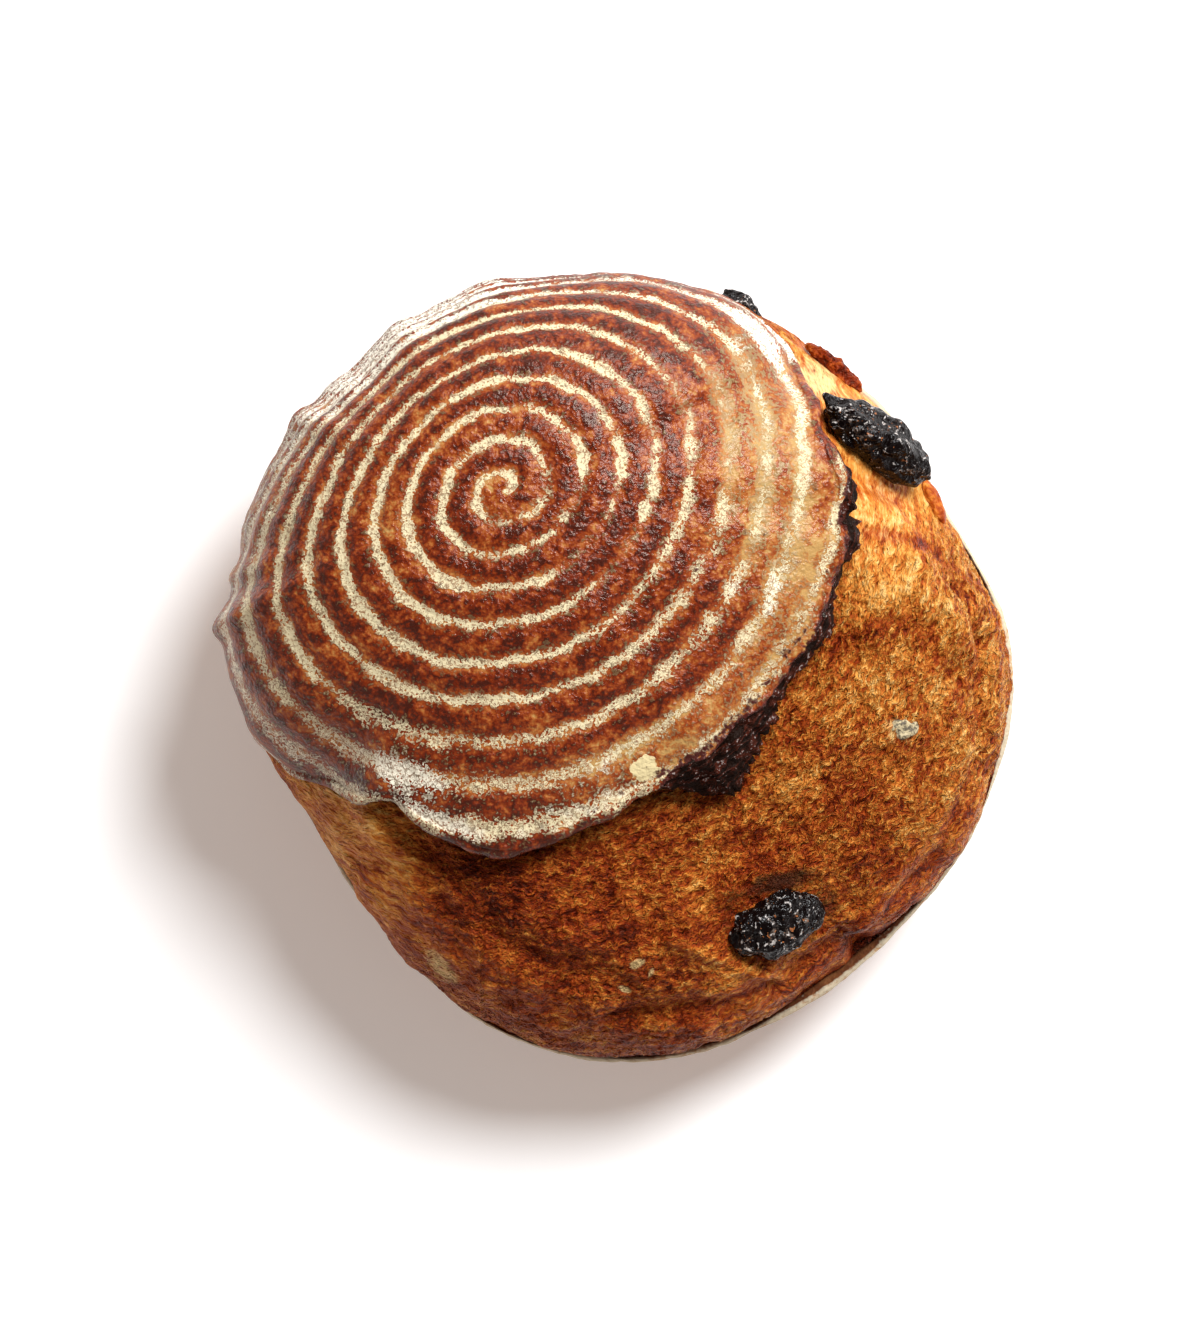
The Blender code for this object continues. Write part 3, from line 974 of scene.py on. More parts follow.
@dataclass(frozen=True)
class LidFinish:
    """Dark glossy crust with rings of flour, and a burnt torn edge."""

    soot: Colour = (0.045, 0.008, 0.004)
    mahogany: Colour = (0.125, 0.014, 0.003)
    chestnut: Colour = (0.220, 0.040, 0.007)
    amber: Colour = (0.320, 0.106, 0.023)
    ochre: Colour = (0.375, 0.215, 0.070)
    dust: Colour = (0.310, 0.228, 0.100)
    ring_flour: Colour = (0.580, 0.500, 0.310)
    flour: Colour = (0.690, 0.640, 0.510)
    wall_flour_painted_light: Colour = (0.880, 0.840, 0.760)
    purple: Colour = (0.050, 0.008, 0.006)
    burnt: Colour = (0.006, 0.002, 0.001)
    cream: Colour = (0.600, 0.500, 0.270)

    def make(self) -> bpy.types.Material:
        """Build the material and return it."""
        m = Finish("lid_crust", Specular_IOR_Level=0.25, Specular_Tint=(1.0, 0.86, 0.75, 1.0))
        east = m.part("X") - COIL.start[0] / MM
        north = m.part("Y") - COIL.start[1] / MM
        angle = m.node("ShaderNodeMath", {"operation": "ARCTAN2"}, {0: north, 1: east})
        coarse = m.cloud(9.0, 1.0)
        middle = m.cloud(3.2, 1.0, 3.0)
        fine = m.cloud(1.2, 1.0)
        grit = m.cloud(0.8, 1.0, 4.0)
        wear = m.field("wear")
        speckle = m.field("speckle")
        haze = m.field("dust")
        strength = m.field("flour")
        ring = (m.field("turns") * (2 * math.pi) - angle + m.cloud(7.0, 0.22)).cosine()
        cover = ring * (0.75 - haze * 0.35) + strength + coarse * 0.06 + middle * (speckle * 0.10 + 0.06)
        cover = cover + fine * (speckle * 0.08 + 0.06) + grit * (speckle * 0.24 + 0.08)
        cover = cover + (m.cloud(5.5, 0.22) - 0.10) * wear
        floured = cover.step(0.53, 0.62)
        cracks = m.blisters(1.3, "DISTANCE_TO_EDGE").step(0.09, 0.02)
        cracks = cracks * (middle + fine + speckle).step(0.0, 1.6)
        specks = (fine * 0.4 + grit * 0.9).step(0.45, 1.15)
        floured = floured * (1.0 - cracks * 0.80) * (1.0 - specks * 0.65)
        veil = cover + haze * 0.75 + grit * 0.16 + fine * 0.16 + middle * 0.16
        dusted = veil.step(0.30, 0.72) * (haze * 0.50 + 0.26)
        pores = m.blisters(1.15).step(0.36, 0.66)
        halo = (ring + coarse * 0.40 + middle * 0.25).step(-0.3, 1.0) * (coarse * 0.25 + 0.7).clamped()
        bake = m.field("bake") + coarse * 0.11 + middle * 0.15 + fine * 0.07 + grit * 0.05
        bake = bake + pores * 0.14 + 0.05
        stops = ((0.0, self.ochre), (0.25, self.amber), (0.50, self.chestnut), (0.75, self.mahogany),
                 (1.0, self.soot))
        blotch = (coarse * 0.8 + middle * 0.5 + halo * 1.3).step(1.1, 2.1)
        crust = m.ramp((bake - halo * 0.18 - blotch * 0.34 - haze * 0.12).clamped(), stops)
        crust = m.mix(crust, self.dust, dusted)
        pale = m.mix(self.ring_flour, self.flour, (strength + middle * 0.10).step(0.20, 0.80))
        # painted light: the steep walls, turned from the lamp, get whiter flour so that they read as bright
        # as the top
        pale = m.mix(pale, self.wall_flour_painted_light, m.field("wall") * 0.6)
        coloured = m.mix(crust, pale, floured)
        chip = (m.field("chip") + middle * 0.12).step(0.42, 0.52)
        coloured = m.mix(coloured, self.cream, chip)
        ragged = m.field("burn") + middle * 0.09 + fine * 0.06
        coloured = m.mix(coloured, self.purple, ragged.step(0.22, 0.45))
        burn = ragged.step(0.55, 0.75)
        coloured = m.mix(coloured, self.burnt, burn)
        bare = (1.0 - floured) * (1.0 - chip)
        strings = m.crests(1.5, 2.0, m.drawn_out(0.22, m.field("along")))
        relief = m.bump(m.blisters(1.30) * (bare * 0.8 + 0.2), -0.20)
        relief = m.bump(fine * 0.10 + grit * 0.05, 0.32, relief)
        relief = m.bump(strings * burn, 0.34, relief)
        coloured = m.mix(coloured, self.purple, strings.step(1.35, 1.75) * burn * 0.5)
        dull = 0.86 - bare * (m.field("gloss") + middle * 0.05)
        return m.feed(Base_Color=coloured, Roughness=dull, Normal=relief)


@dataclass(frozen=True)
class TornFaceFinish:
    """Black-brown strings of burnt crust with small painted glints, where the lid tore open."""

    black: Colour = (0.006, 0.002, 0.001)
    wine: Colour = (0.050, 0.009, 0.004)
    painted_glint: Colour = (0.330, 0.280, 0.260)

    def make(self) -> bpy.types.Material:
        """Build the material and return it."""
        m = Finish("torn_face", Specular_IOR_Level=0.07, Specular_Tint=(1.0, 0.80, 0.70, 1.0))
        patches = m.cloud(4.0, 1.0)
        fine = m.cloud(0.7, 1.0)
        strings = m.crests(1.5, 2.0, m.drawn_out(0.22, m.field("along")))
        coloured = m.mix(self.black, self.wine, (strings + patches * 0.15).step(0.9, 1.7))
        # painted highlights: pale flecks on the string crests stand in for glints
        glints = strings.step(1.25, 1.60) * (fine + patches * 0.5).step(0.9, 1.6)
        coloured = m.mix(coloured, self.painted_glint, glints * 0.8)
        relief = m.bump(strings, 0.40)
        relief = m.bump(fine * 0.10, 0.40, relief)
        return m.feed(Base_Color=coloured, Roughness=0.45 - glints * 0.2, Normal=relief)


@dataclass(frozen=True)
class BellyFinish:
    """Torn crumb baked golden to dark amber, lighter on its strands, with painted highlights on their crests
    and painted shade in the hollows between.
    """

    pit: Colour = (0.055, 0.004, 0.001)
    rust: Colour = (0.150, 0.012, 0.001)
    amber: Colour = (0.290, 0.046, 0.005)
    ginger: Colour = (0.450, 0.125, 0.015)
    honey: Colour = (0.640, 0.270, 0.050)
    wheat: Colour = (0.770, 0.445, 0.150)
    crumb: Colour = (0.740, 0.540, 0.240)
    # painted shade colour, near black
    painted_shade: Colour = (0.030, 0.008, 0.004)

    def make(self) -> bpy.types.Material:
        """Build the material and return it."""
        m = Finish("torn_crumb", Specular_IOR_Level=0.16, Specular_Tint=(1.0, 0.72, 0.45, 1.0))
        strand = m.field("strand")
        along = m.field("along")
        lively = 1.0 - m.field("calm")
        weave = m.drifted(m.drawn_out(0.80, along * 1.7), 7.0, 3.2)
        coarse = m.cloud(12.0, 1.0)
        middle = m.cloud(3.2, 1.0, 3.0, weave)
        fine = m.cloud(1.0, 1.0, 2.0, weave)
        flakes = m.crests(6.5, 2.0, weave)
        curls = m.crests(2.7, 3.0, weave)
        # painted highlights on the strand crests, where the roughness also drops, and painted shade in the
        # hollows between them
        crest_highlights = curls.step(1.40, 1.75) * lively
        pits = curls.step(1.20, 0.60) * lively
        cells = m.blisters(2.8, "DISTANCE_TO_EDGE", weave)
        net = cells.step(0.10, 0.01) * (fine * 0.3 + middle * 0.3 + 0.5).clamped() * lively
        grooves = m.spots(1.9, at=m.drawn_out(0.16, along))
        streaks = grooves.step(0.50, 0.66) * m.field("streak")
        tone = m.field("tone") + coarse * 0.05 + middle * 0.06 + fine * 0.05 + (strand - 0.59) * 0.20
        tone = tone + crest_highlights * 0.22 + net * 0.10 - pits * 0.14 - streaks * 0.22 + (flakes - 1.1) * 0.13 - 0.01
        stops = ((0.0, self.pit), (0.20, self.rust), (0.40, self.amber), (0.60, self.ginger),
                 (0.80, self.honey), (1.0, self.wheat))
        coloured = m.ramp(tone.clamped(), stops)
        pale = (m.field("pale") + middle * 0.08 + fine * 0.05).step(0.35, 0.9)
        coloured = m.mix(coloured, self.crumb, pale * 0.8)
        # painted shade: near-black at the crease under the lip by the tear and round the middle prune's
        # hollow
        burnt = (m.field("painted_shade") + middle * 0.09 + fine * 0.05).step(0.3, 0.9)
        coloured = m.mix(coloured, self.painted_shade, burnt * 0.9)
        relief = m.bump(flakes * (lively * 0.6 + 0.4), 1.00)
        relief = m.bump(curls * lively, 0.75, relief)
        relief = m.bump(cells.step(0.16, 0.0) * lively, 0.30, relief)
        relief = m.bump(grooves.step(0.35, 0.65) * m.field("streak"), 0.60, relief)
        relief = m.bump(fine * 0.12, 0.32, relief)
        return m.feed(Base_Color=coloured, Roughness=0.44 - crest_highlights * 0.12, Normal=relief)


@dataclass(frozen=True)
class LowerCrustFinish:
    """Firm lower crust, browned and dusted with pale flour, darkest in a painted line of shade where it meets
    the belly.
    """

    # darkest colour of the ramp; it shows mostly in the painted shade line where the rim meets the belly
    edge: Colour = (0.110, 0.030, 0.010)
    brown: Colour = (0.230, 0.085, 0.028)
    tan: Colour = (0.390, 0.200, 0.075)
    dust: Colour = (0.520, 0.450, 0.320)

    def make(self) -> bpy.types.Material:
        """Build the material and return it."""
        m = Finish("lower_crust", Specular_IOR_Level=0.15)
        coarse = m.cloud(16.0, 1.0, 3.0)
        middle = m.cloud(3.6, 1.0, 4.0)
        fine = m.cloud(1.0, 1.0, 3.0)
        browned = m.field("bake") + coarse * 0.14 + middle * 0.09 + fine * 0.06
        coloured = m.ramp(browned.clamped(), ((0.0, self.tan), (0.5, self.brown), (1.0, self.edge)))
        floured = (m.field("flour") + coarse * 0.10 + middle * 0.08 + fine * 0.10).step(0.20, 0.75)
        coloured = m.mix(coloured, self.dust, floured * 0.90)
        relief = m.bump(middle * 0.08, 0.60)
        relief = m.bump(fine * 0.08, 0.40, relief)
        return m.feed(Base_Color=coloured, Roughness=0.62 + floured * 0.28, Normal=relief)


@dataclass(frozen=True)
class PruneFinish:
    """Black wrinkled dried fruit, glossy, with crumbs stuck to it and painted glints along its folds."""

    skin: Colour = (0.0030, 0.0015, 0.0015)
    bloom: Colour = (0.110, 0.078, 0.060)
    crumb: Colour = (0.250, 0.085, 0.028)
    painted_glint: Colour = (0.520, 0.480, 0.450)

    def make(self) -> bpy.types.Material:
        """Build the material and return it."""
        m = Finish("prune_skin", Specular_IOR_Level=0.14)
        folds = m.crests(3.4, 2.5, m.drifted(m.mm, 6.0, 4.0))
        middle = m.cloud(1.9, 1.0, 3.0)
        fine = m.cloud(0.6, 1.0, 3.0)
        crumbs = m.field("crumbs")
        dusty = (middle * 0.5 + fine * 0.3 + folds * 0.8 + crumbs * 14.0).step(1.7, 2.8)
        coloured = m.mix(self.skin, self.bloom, dusty * 0.8)
        # painted highlights: pale flecks on the fold crests stand in for glints
        glints = folds.step(1.30, 1.60) * (middle * 0.7 + fine * 0.5).step(0.3, 1.1)
        coloured = m.mix(coloured, self.painted_glint, glints * 0.85)
        stuck = (m.cloud(1.1, 1.0) + crumbs * 8.0).step(2.3, 2.6)
        coloured = m.mix(coloured, self.crumb, stuck)
        relief = m.bump(folds, 0.40)
        relief = m.bump(middle * 0.08, 0.45, relief)
        return m.feed(Base_Color=coloured, Roughness=0.12 + dusty * 0.35, Normal=relief)


@dataclass(frozen=True)
class WalnutFinish:
    """A pale broken nut with grey-brown pits."""

    pale: Colour = (0.420, 0.345, 0.200)
    pits: Colour = (0.050, 0.038, 0.026)

    def make(self) -> bpy.types.Material:
        """Build the material and return it."""
        m = Finish("walnut_flesh", Specular_IOR_Level=0.35)
        middle = m.spots(1.4, 3.0, 0.6)
        fine = m.spots(0.5, 2.0)
        coloured = m.mix(self.pale, self.pits, (middle * 0.8 + fine * 0.3).step(0.50, 0.64) * 0.90)
        return m.feed(Base_Color=coloured, Roughness=0.55 + fine * 0.2, Normal=m.bump(middle, 0.5))


def place_piece(piece: bpy.types.Object, node: str, slot: str, *materials: bpy.types.Material) -> None:
    """Dress a piece and fix it to the loaf.

    Args:
        piece: The piece, already in place.
        node: The solid that it stands for.
        slot: The record's material slot; not used.
        *materials: Its finishes, the main one first.
    """
    for material in materials:
        piece.data.materials.append(material)
    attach(piece, BODY)
    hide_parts(node)
    triangles = sum(len(face.vertices) - 2 for face in piece.data.polygons)
    LOG.info("%s: %d triangles", piece.name, triangles)


@dataclass(frozen=True)
class Lid:
    """The lifted lid of ringed crust, with its lip and torn face."""

    segments: int = 640
    top_rows: int = 112
    lip_rows: int = 22
    under_rows: int = 8
    hidden_middle: float = 58.0 * MM
    torn_from: float = 0.62
    tear_start: tuple[float, float] = (-61.0, -53.0)
    gape_start: tuple[float, float] = (-65.0, -55.0)
    full_gape: float = 5.0 * MM
    spike: float = 3.2 * MM
    rim_radius: float = 88.0 * MM
    shoulder: tuple[tuple[float, float, float], ...] = (
        (118, 10.0, 1.2), (146, 8.0, 1.2), (100, 5.0, -1.2), (68, 12.0, -1.5), (184, 12.0, 1.3))
    swell: float = 4.5 * MM
    swell_at: tuple[float, float] = (-10.0 * MM, 16.0 * MM)
    swell_reach: float = 34.0 * MM
    ring_relief: float = 0.30 * MM
    pebble: float = 3.4 * MM
    pebble_relief: float = 0.20 * MM
    crack: float = 5.0 * MM
    crack_depth: float = 0.35 * MM
    strand: float = 2.6 * MM
    strand_pace: tuple[float, float, float] = (34.0 * MM, 9.0 * MM, 0.4)
    strand_relief: float = 2.4 * MM
    tatter: float = 4.0 * MM
    tatter_relief: float = 1.8 * MM
    flour: tuple[Patch, ...] = (
        Patch(-54, -29, 12, 8, -25, 0.80), Patch(-47, -38, 14, 5, -30, 0.35),
        Patch(-66, -18, 12, 5, -50, 0.20), Patch(-15, -35, 7, 3, 20, 0.40),
        Patch(-4, -29, 9, 4, 30, 0.40), Patch(32, 20, 6, 2.6, 75, 0.55),
        Patch(41, 19, 8, 4, 80, 0.50), Patch(38, 88, 11, 7, -40, 0.9), Patch(34, -4, 16, 4, 48, 0.18),
        Patch(44, 50, 7, 26, 5, 0.12), Patch(-3, 33, 12, 13, 0, -0.45), Patch(14, 66, 8, 12, 0, -0.12),
        Patch(-99, 20, 8, 30, 5, 0.10), Patch(-70, 42, 26, 40, 20, 0.12), Patch(7, 50, 3, 10, -10, 0.30))
    bake: tuple[Patch, ...] = (
        Patch(-60, -11, 10, 5, -25, 0.24), Patch(-2, 30, 18, 18, 0, 0.08), Patch(40, 42, 14, 40, 8, -0.27),
        Patch(-5, -25, 20, 6, 15, -0.26), Patch(24, -12, 22, 8, 40, -0.12), Patch(-32, 46, 6, 7, 0, -0.34),
        Patch(-60, 40, 8, 14, 20, -0.20), Patch(-45, 60, 10, 8, 20, -0.15), Patch(-14, 90, 60, 16, 0, 0.06))
    chip: tuple[Patch, ...] = (Patch(7.5, -27.0, 4.5, 3.2, 30, 1.0),)
    gloss: tuple[Patch, ...] = (
        Patch(4, 40, 24, 40, -10, 0.04), Patch(-14, 92, 60, 18, 0, -0.12), Patch(-20, -34, 50, 12, 5, -0.08))
    speckle: tuple[Patch, ...] = (
        Patch(-60, -30, 34, 22, -30, 0.9), Patch(-10, -30, 50, 14, 5, 1.0), Patch(-76, 66, 40, 16, 50, 0.7),
        Patch(36, 10, 26, 40, 10, 0.8))
    dust: tuple[Patch, ...] = (Patch(40, 48, 12, 42, 8, 0.8), Patch(26, 70, 14, 18, 0, 0.3))
    wear: tuple[Patch, ...] = (
        Patch(-2, 48, 16, 18, 0, 1.0), Patch(-28, 44, 10, 10, 0, 0.6), Patch(30, 30, 16, 40, 0, 0.7))

    def shape(self, grain: Grain) -> bpy.types.Object:
        """Build the lid.

        Args:
            grain: Noise for its fine relief.

        Returns:
            The lid's object.
        """
        skin = Skin(FORM.spread(self.segments, 40.0))
        rim = np.stack([np.radians(skin.bearing) * self.rim_radius, 0 * skin.bearing, 0 * skin.bearing], -1)
        spikes = grain.ridges(rim, self.spike, 3)
        skin.at.lid = skin.at.lid + reaches(skin.bearing, self.shoulder)
        skin.at.torn = skin.at.torn * smooth(*self.tear_start, turned(skin.bearing)) * (0.55 + 0.85 * spikes)
        skin.run(Stretch.LID, self.top_rows, 0).run(Stretch.LIP, self.lip_rows)
        skin.run(Stretch.UNDER, self.under_rows)
        skin.straight(Stretch.CAP, np.array([*FORM.middle, self.hidden_middle]), 4).settle()
        self._swell(skin)
        length = skin.lengths()
        turns, angle = COIL.turns(skin.points)
        on_lid = skin.on(Stretch.LID)
        on_lip = skin.on(Stretch.LIP, Stretch.UNDER)
        edge = on_lid * smooth(0.80, 1.0, skin.share(Stretch.LID))
        rings = -np.cos(2 * math.pi * turns - angle) * self.ring_relief * smooth(0.0, 8.0 * MM, length)
        lumps = 0.5 * skin.lumps() * smooth(0.0, 20.0 * MM, length)
        pebbles = grain.layered(skin.points, self.pebble, 3) * self.pebble_relief
        cracks = -grain.ridges(skin.points, self.crack, 2) ** 4 * self.crack_depth * edge
        skin.push(on_lid * (rings + lumps + pebbles) + cracks + on_lip * 0.4 * skin.crags())
        self._strands(skin, grain)
        skin.points[0] = skin.points[1].mean(axis=0)
        return skin.mesh("lid", self._fields(skin, turns, length))

    def mark_torn(self, piece: bpy.types.Object) -> None:
        """Give the burnt part of the lip the second finish.

        Args:
            piece: The lid's object.
        """
        made = piece.data
        burn = np.zeros(len(made.vertices))
        made.attributes["burn"].data.foreach_get("value", burn)
        corners = np.zeros(len(made.loops), int)
        made.loops.foreach_get("vertex_index", corners)
        first = np.zeros(len(made.polygons), int)
        made.polygons.foreach_get("loop_start", first)
        total = np.zeros(len(made.polygons), int)
        made.polygons.foreach_get("loop_total", total)
        burnt = np.add.reduceat(burn[corners], first) / total > self.torn_from
        made.polygons.foreach_set("material_index", burnt.astype(int))
        made.update()

    def _swell(self, skin: Skin) -> None:
        """Raise the lid's broad swelling towards its open side.

        Args:
            skin: The lid's skin.
        """
        away = skin.points[..., :2] - np.array(self.swell_at)
        swell = np.exp(-np.sum(away ** 2, axis=-1) / (2 * self.swell_reach ** 2))
        fade = skin.on(Stretch.LID) * (1.0 - skin.share(Stretch.LID) ** 3)
        skin.points[..., 2] += self.swell * swell * fade

    def _strands(self, skin: Skin, grain: Grain) -> None:
        """Tear the lip's face into ragged strands.

        Args:
            skin: The lid's skin.
            grain: Noise for the strands.
        """
        share = skin.share(Stretch.LIP)
        at_face = skin.on(Stretch.LIP) * np.sin(math.pi * share) ** 0.5
        level = 0 * skin.points[..., 0]
        round_it, down_it, up_it = self.strand_pace
        spun = np.stack([np.radians(skin.bearing) * round_it + level, share * down_it + level,
                         skin.points[..., 2] * up_it], -1)
        torn = (grain.ridges(spun, self.strand, 3) - 0.45) * self.strand_relief
        torn = torn + grain.layered(skin.points, self.tatter, 3) * self.tatter_relief
        open_side = smooth(0.3, 0.9, skin.at.open) * (0.25 + 0.75 * self.gape(skin.bearing))
        skin.push(at_face * torn * open_side[None, :])

    def gape(self, bearing: np.ndarray) -> np.ndarray:
        """Return how far the lip is torn open at each bearing, from 0 to 1."""
        wide = np.clip(reaches(bearing, FORM.torn_faces) / self.full_gape, 0.0, 1.0)
        return wide * smooth(*self.gape_start, turned(bearing))

    def _fields(self, skin: Skin, turns: np.ndarray, length: np.ndarray) -> dict[str, np.ndarray]:
        """Work out what the finish reads.

        Args:
            skin: The shaped skin.
            turns: The coil's turns out to each point.
            length: The distance down the profile to each point.

        Returns:
            A value at each point for each field.
        """
        share = skin.share(Stretch.LID, 1.0)
        on_lid = skin.on(Stretch.LID)
        open_side = skin.at.open[None, :]
        bearing = skin.bearing[None, :]
        away = turned(bearing)
        wall = (1.0 - open_side) * smooth(0.60, 0.92, share)
        low_rim = hump(bearing, 268.0, 46.0, 4) * smooth(0.84, 0.96, share)
        top_wall = hump(bearing, 121.0, 37.0, 4) * smooth(0.56, 0.76, share)
        left_wall = hump(bearing, 180.0, 26.0, 4) * smooth(0.58, 0.80, share)
        nub = hump(bearing, 157.0, 3.0) * smooth(0.84, 0.94, share)
        low_edge = hump(bearing, 268.0, 40.0, 4) * smooth(0.94, 0.975, share) * on_lid
        right_edge = hump(away, 8.0, 28.0, 4) * smooth(0.84, 0.94, share) * on_lid
        front_edge = hump(away, -50.0, 28.0, 4) * smooth(0.80, 0.94, share) * on_lid
        edge = on_lid * smooth(0.93, 1.0, share) * smooth(0.4, 0.9, open_side)
        edge = edge * (1.0 - low_edge) * (1.0 - right_edge) * (1.0 - 0.6 * front_edge)
        scorched = hump(away, -38.0, 50.0, 8)
        low_lip = hump(away, -95.0, 30.0, 4) * 0.75
        gape = self.gape(bearing)
        start = (skin.share(Stretch.LIP) - 0.40 + 0.58 * gape) / (0.24 + 0.20 * gape)
        face = np.clip(start, 0.0, 1.0) * skin.on(Stretch.LIP) + skin.on(Stretch.UNDER)
        last = on_lid * smooth(0.955, 1.0, share) * (0.4 + 0.6 * gape) * (1.0 - 0.7 * right_edge)
        flour = skin.patches(self.flour) + 0.01 + 0.08 * low_rim + 0.10 * wall + 0.26 * low_edge
        flour = flour + (1.25 * top_wall + 0.22 * left_wall) * (1.0 - nub) - 0.5 * nub
        flour = flour + 0.16 * right_edge + 0.12 * front_edge - 0.04 * edge - 0.20 * last * scorched
        bake = skin.patches(self.bake) + 0.70 + 0.16 * low_rim + 0.2 * edge
        bake = bake - 0.35 * nub - 0.28 * right_edge - 0.26 * front_edge
        dust = skin.patches(self.dust) + 0.15 * wall + 0.5 * left_wall + 0.3 * front_edge
        return {
            "turns": turns,
            "flour": flour,
            "bake": bake,
            "burn": scorched * (face + last * 0.42) + low_lip * face,
            "chip": skin.patches(self.chip),
            "gloss": skin.patches(self.gloss) + 0.58 - 0.10 * wall,
            "wear": skin.patches(self.wear),
            "wall": wall,
            "speckle": np.clip(skin.patches(self.speckle) + 0.9 * wall, 0.0, 1.4),
            "dust": np.clip(dust, 0.0, 1.0),
            "along": length / MM,
        }


@dataclass(frozen=True)
class Belly:
    """The torn crumb that swelled out from under the lid."""

    segments: int = 620
    rows: int = 150
    strand_relief: float = 1.25 * MM
    billow: float = 11.0 * MM
    billow_relief: float = 1.1 * MM
    net: float = 3.3 * MM
    swirl: float = 8.0 * MM
    swirl_reach: float = 2.4 * MM
    hidden_middle: float = 60.0 * MM
    hidden_tuck: float = 14.0 * MM
    hollow_share: float = 1.35
    overhang: tuple[tuple[float, float, float], ...] = (
        (325, 9.0, 1.5), (350, 10.0, 0.3), (306, 7.0, -1.6), (31, 7.0, 4.0))
    raised: tuple[tuple[tuple[tuple[float, float], ...], float, float], ...] = (
        (((14, -70), (30, -77), (44, -82)), 1.8, 1.8), (((44, -82), (58, -76), (68, -64)), 2.4, 1.2),
        (((-66, -38), (-44, -56), (-30, -76)), 2.6, 1.0), (((62, 36), (78, 34), (90, 22)), 2.2, -1.0),
        (((50, -2), (66, 12), (84, 10)), 2.4, -1.0))
    tone: tuple[Patch, ...] = (
        Patch(82, 22, 30, 46, 0, 0.20), Patch(70, 40, 18, 26, 0, 0.14), Patch(74, 34, 10, 2.2, -12, -0.34),
        Patch(66, 46, 9, 2, -20, -0.14), Patch(70, 10, 11, 2.6, 20, -0.20), Patch(84, 2, 8, 2, -40, -0.14),
        Patch(60, 70, 24, 20, 0, 0.20), Patch(55, -28, 44, 16, 30, 0.05), Patch(98, -4, 12, 40, 0, 0.10),
        Patch(-15, -62, 40, 22, -20, -0.10), Patch(-40, -60, 16, 14, 0, -0.14),
        Patch(-68, -46, 28, 16, -50, 0.26), Patch(36, -84, 20, 8, 20, 0.12), Patch(88, -38, 26, 10, 55, 0.08))
    calm: tuple[Patch, ...] = (
        Patch(60, 68, 28, 24, 0, 1.0), Patch(70, 44, 18, 26, 0, 0.7), Patch(-68, -48, 34, 14, -50, 0.7),
        Patch(14, -70, 30, 10, 0, 0.2), Patch(80, -56, 36, 7, 50, 0.6), Patch(40, -86, 34, 7, 20, 0.6),
        Patch(-30, -84, 36, 8, -30, 0.5))
    pale: tuple[Patch, ...] = (
        Patch(-78, -42, 4, 18, 35, 0.25), Patch(-46, -79, 7, 3, -45, 0.75), Patch(53, 76, 9, 6, -35, 0.8),
        Patch(70, 42, 12, 22, 0, 0.42), Patch(29, -79, 9, 2, -12, 0.30), Patch(75, -17, 6, 5, 0, 0.55),
        Patch(5.8, -78.3, 2.4, 1.2, 30, 1.2), Patch(2.6, -84.9, 2.0, 1.0, -20, 1.2),
        Patch(9.5, -80.5, 1.6, 0.8, 60, 1.0))
    # painted shade below the torn face and round the middle prune's hollow
    painted_shade: tuple[Patch, ...] = (
        Patch(43, -57, 12, 3.5, 15, 0.9), Patch(56, -62, 4, 6, 0, 0.7), Patch(30, -66, 3, 8, 0, 0.45),
        Patch(24, -27, 16, 5, 38, 0.5))
    streaks: tuple[Patch, ...] = (
        Patch(96, 10, 14, 44, 0, 0.9), Patch(80, -52, 40, 12, 50, 0.9), Patch(40, -88, 34, 10, 20, 0.8),
        Patch(-30, -84, 40, 12, -30, 0.7), Patch(-70, -50, 34, 12, -60, 0.6))

    def shape(self, grain: Grain) -> bpy.types.Object:
        """Build the belly.

        Args:
            grain: Noise for its strands.

        Returns:
            The belly's object.
        """
        skin = Skin(FORM.spread(self.segments, 0.0, 0.3))
        skin.at.tear = skin.at.tear + reaches(skin.bearing, self.overhang)
        middle = (*FORM.middle, self.hidden_middle)
        skin.pole(middle)
        skin.straight(Stretch.CAP, skin.ring(skin.at.crease, skin.at.crease_z), 4)
        skin.run(Stretch.BELLY, self.rows)
        skin.straight(Stretch.TUCK, np.array([0.0, 0.0, self.hidden_tuck]), 3).settle()
        on_belly = skin.on(Stretch.BELLY) * smooth(0.0, 0.25, skin.share(Stretch.BELLY))
        open_side = skin.at.open[None, :]
        strand = self._strands(skin, grain)
        lumps = skin.lumps() + grain.layered(skin.points, self.billow, 2) * self.billow_relief
        sunk = FORM.fold_depth(skin.points, FORM.folds) + self._hollow(skin.points)
        sunk = sunk - FORM.fold_depth(skin.points, self.raised)
        calm = np.clip(skin.patches(self.calm), 0.0, 1.0)
        fine = (strand - 0.45) * self.strand_relief * blend(0.45, 1.0, open_side) * (1.0 - 0.75 * calm)
        skin.push(on_belly * (open_side * lumps + skin.crags() - sunk) + skin.on(Stretch.BELLY) * fine)
        skin.points[0] = np.array(middle)
        return skin.mesh("belly", self._fields(skin, strand, sunk))

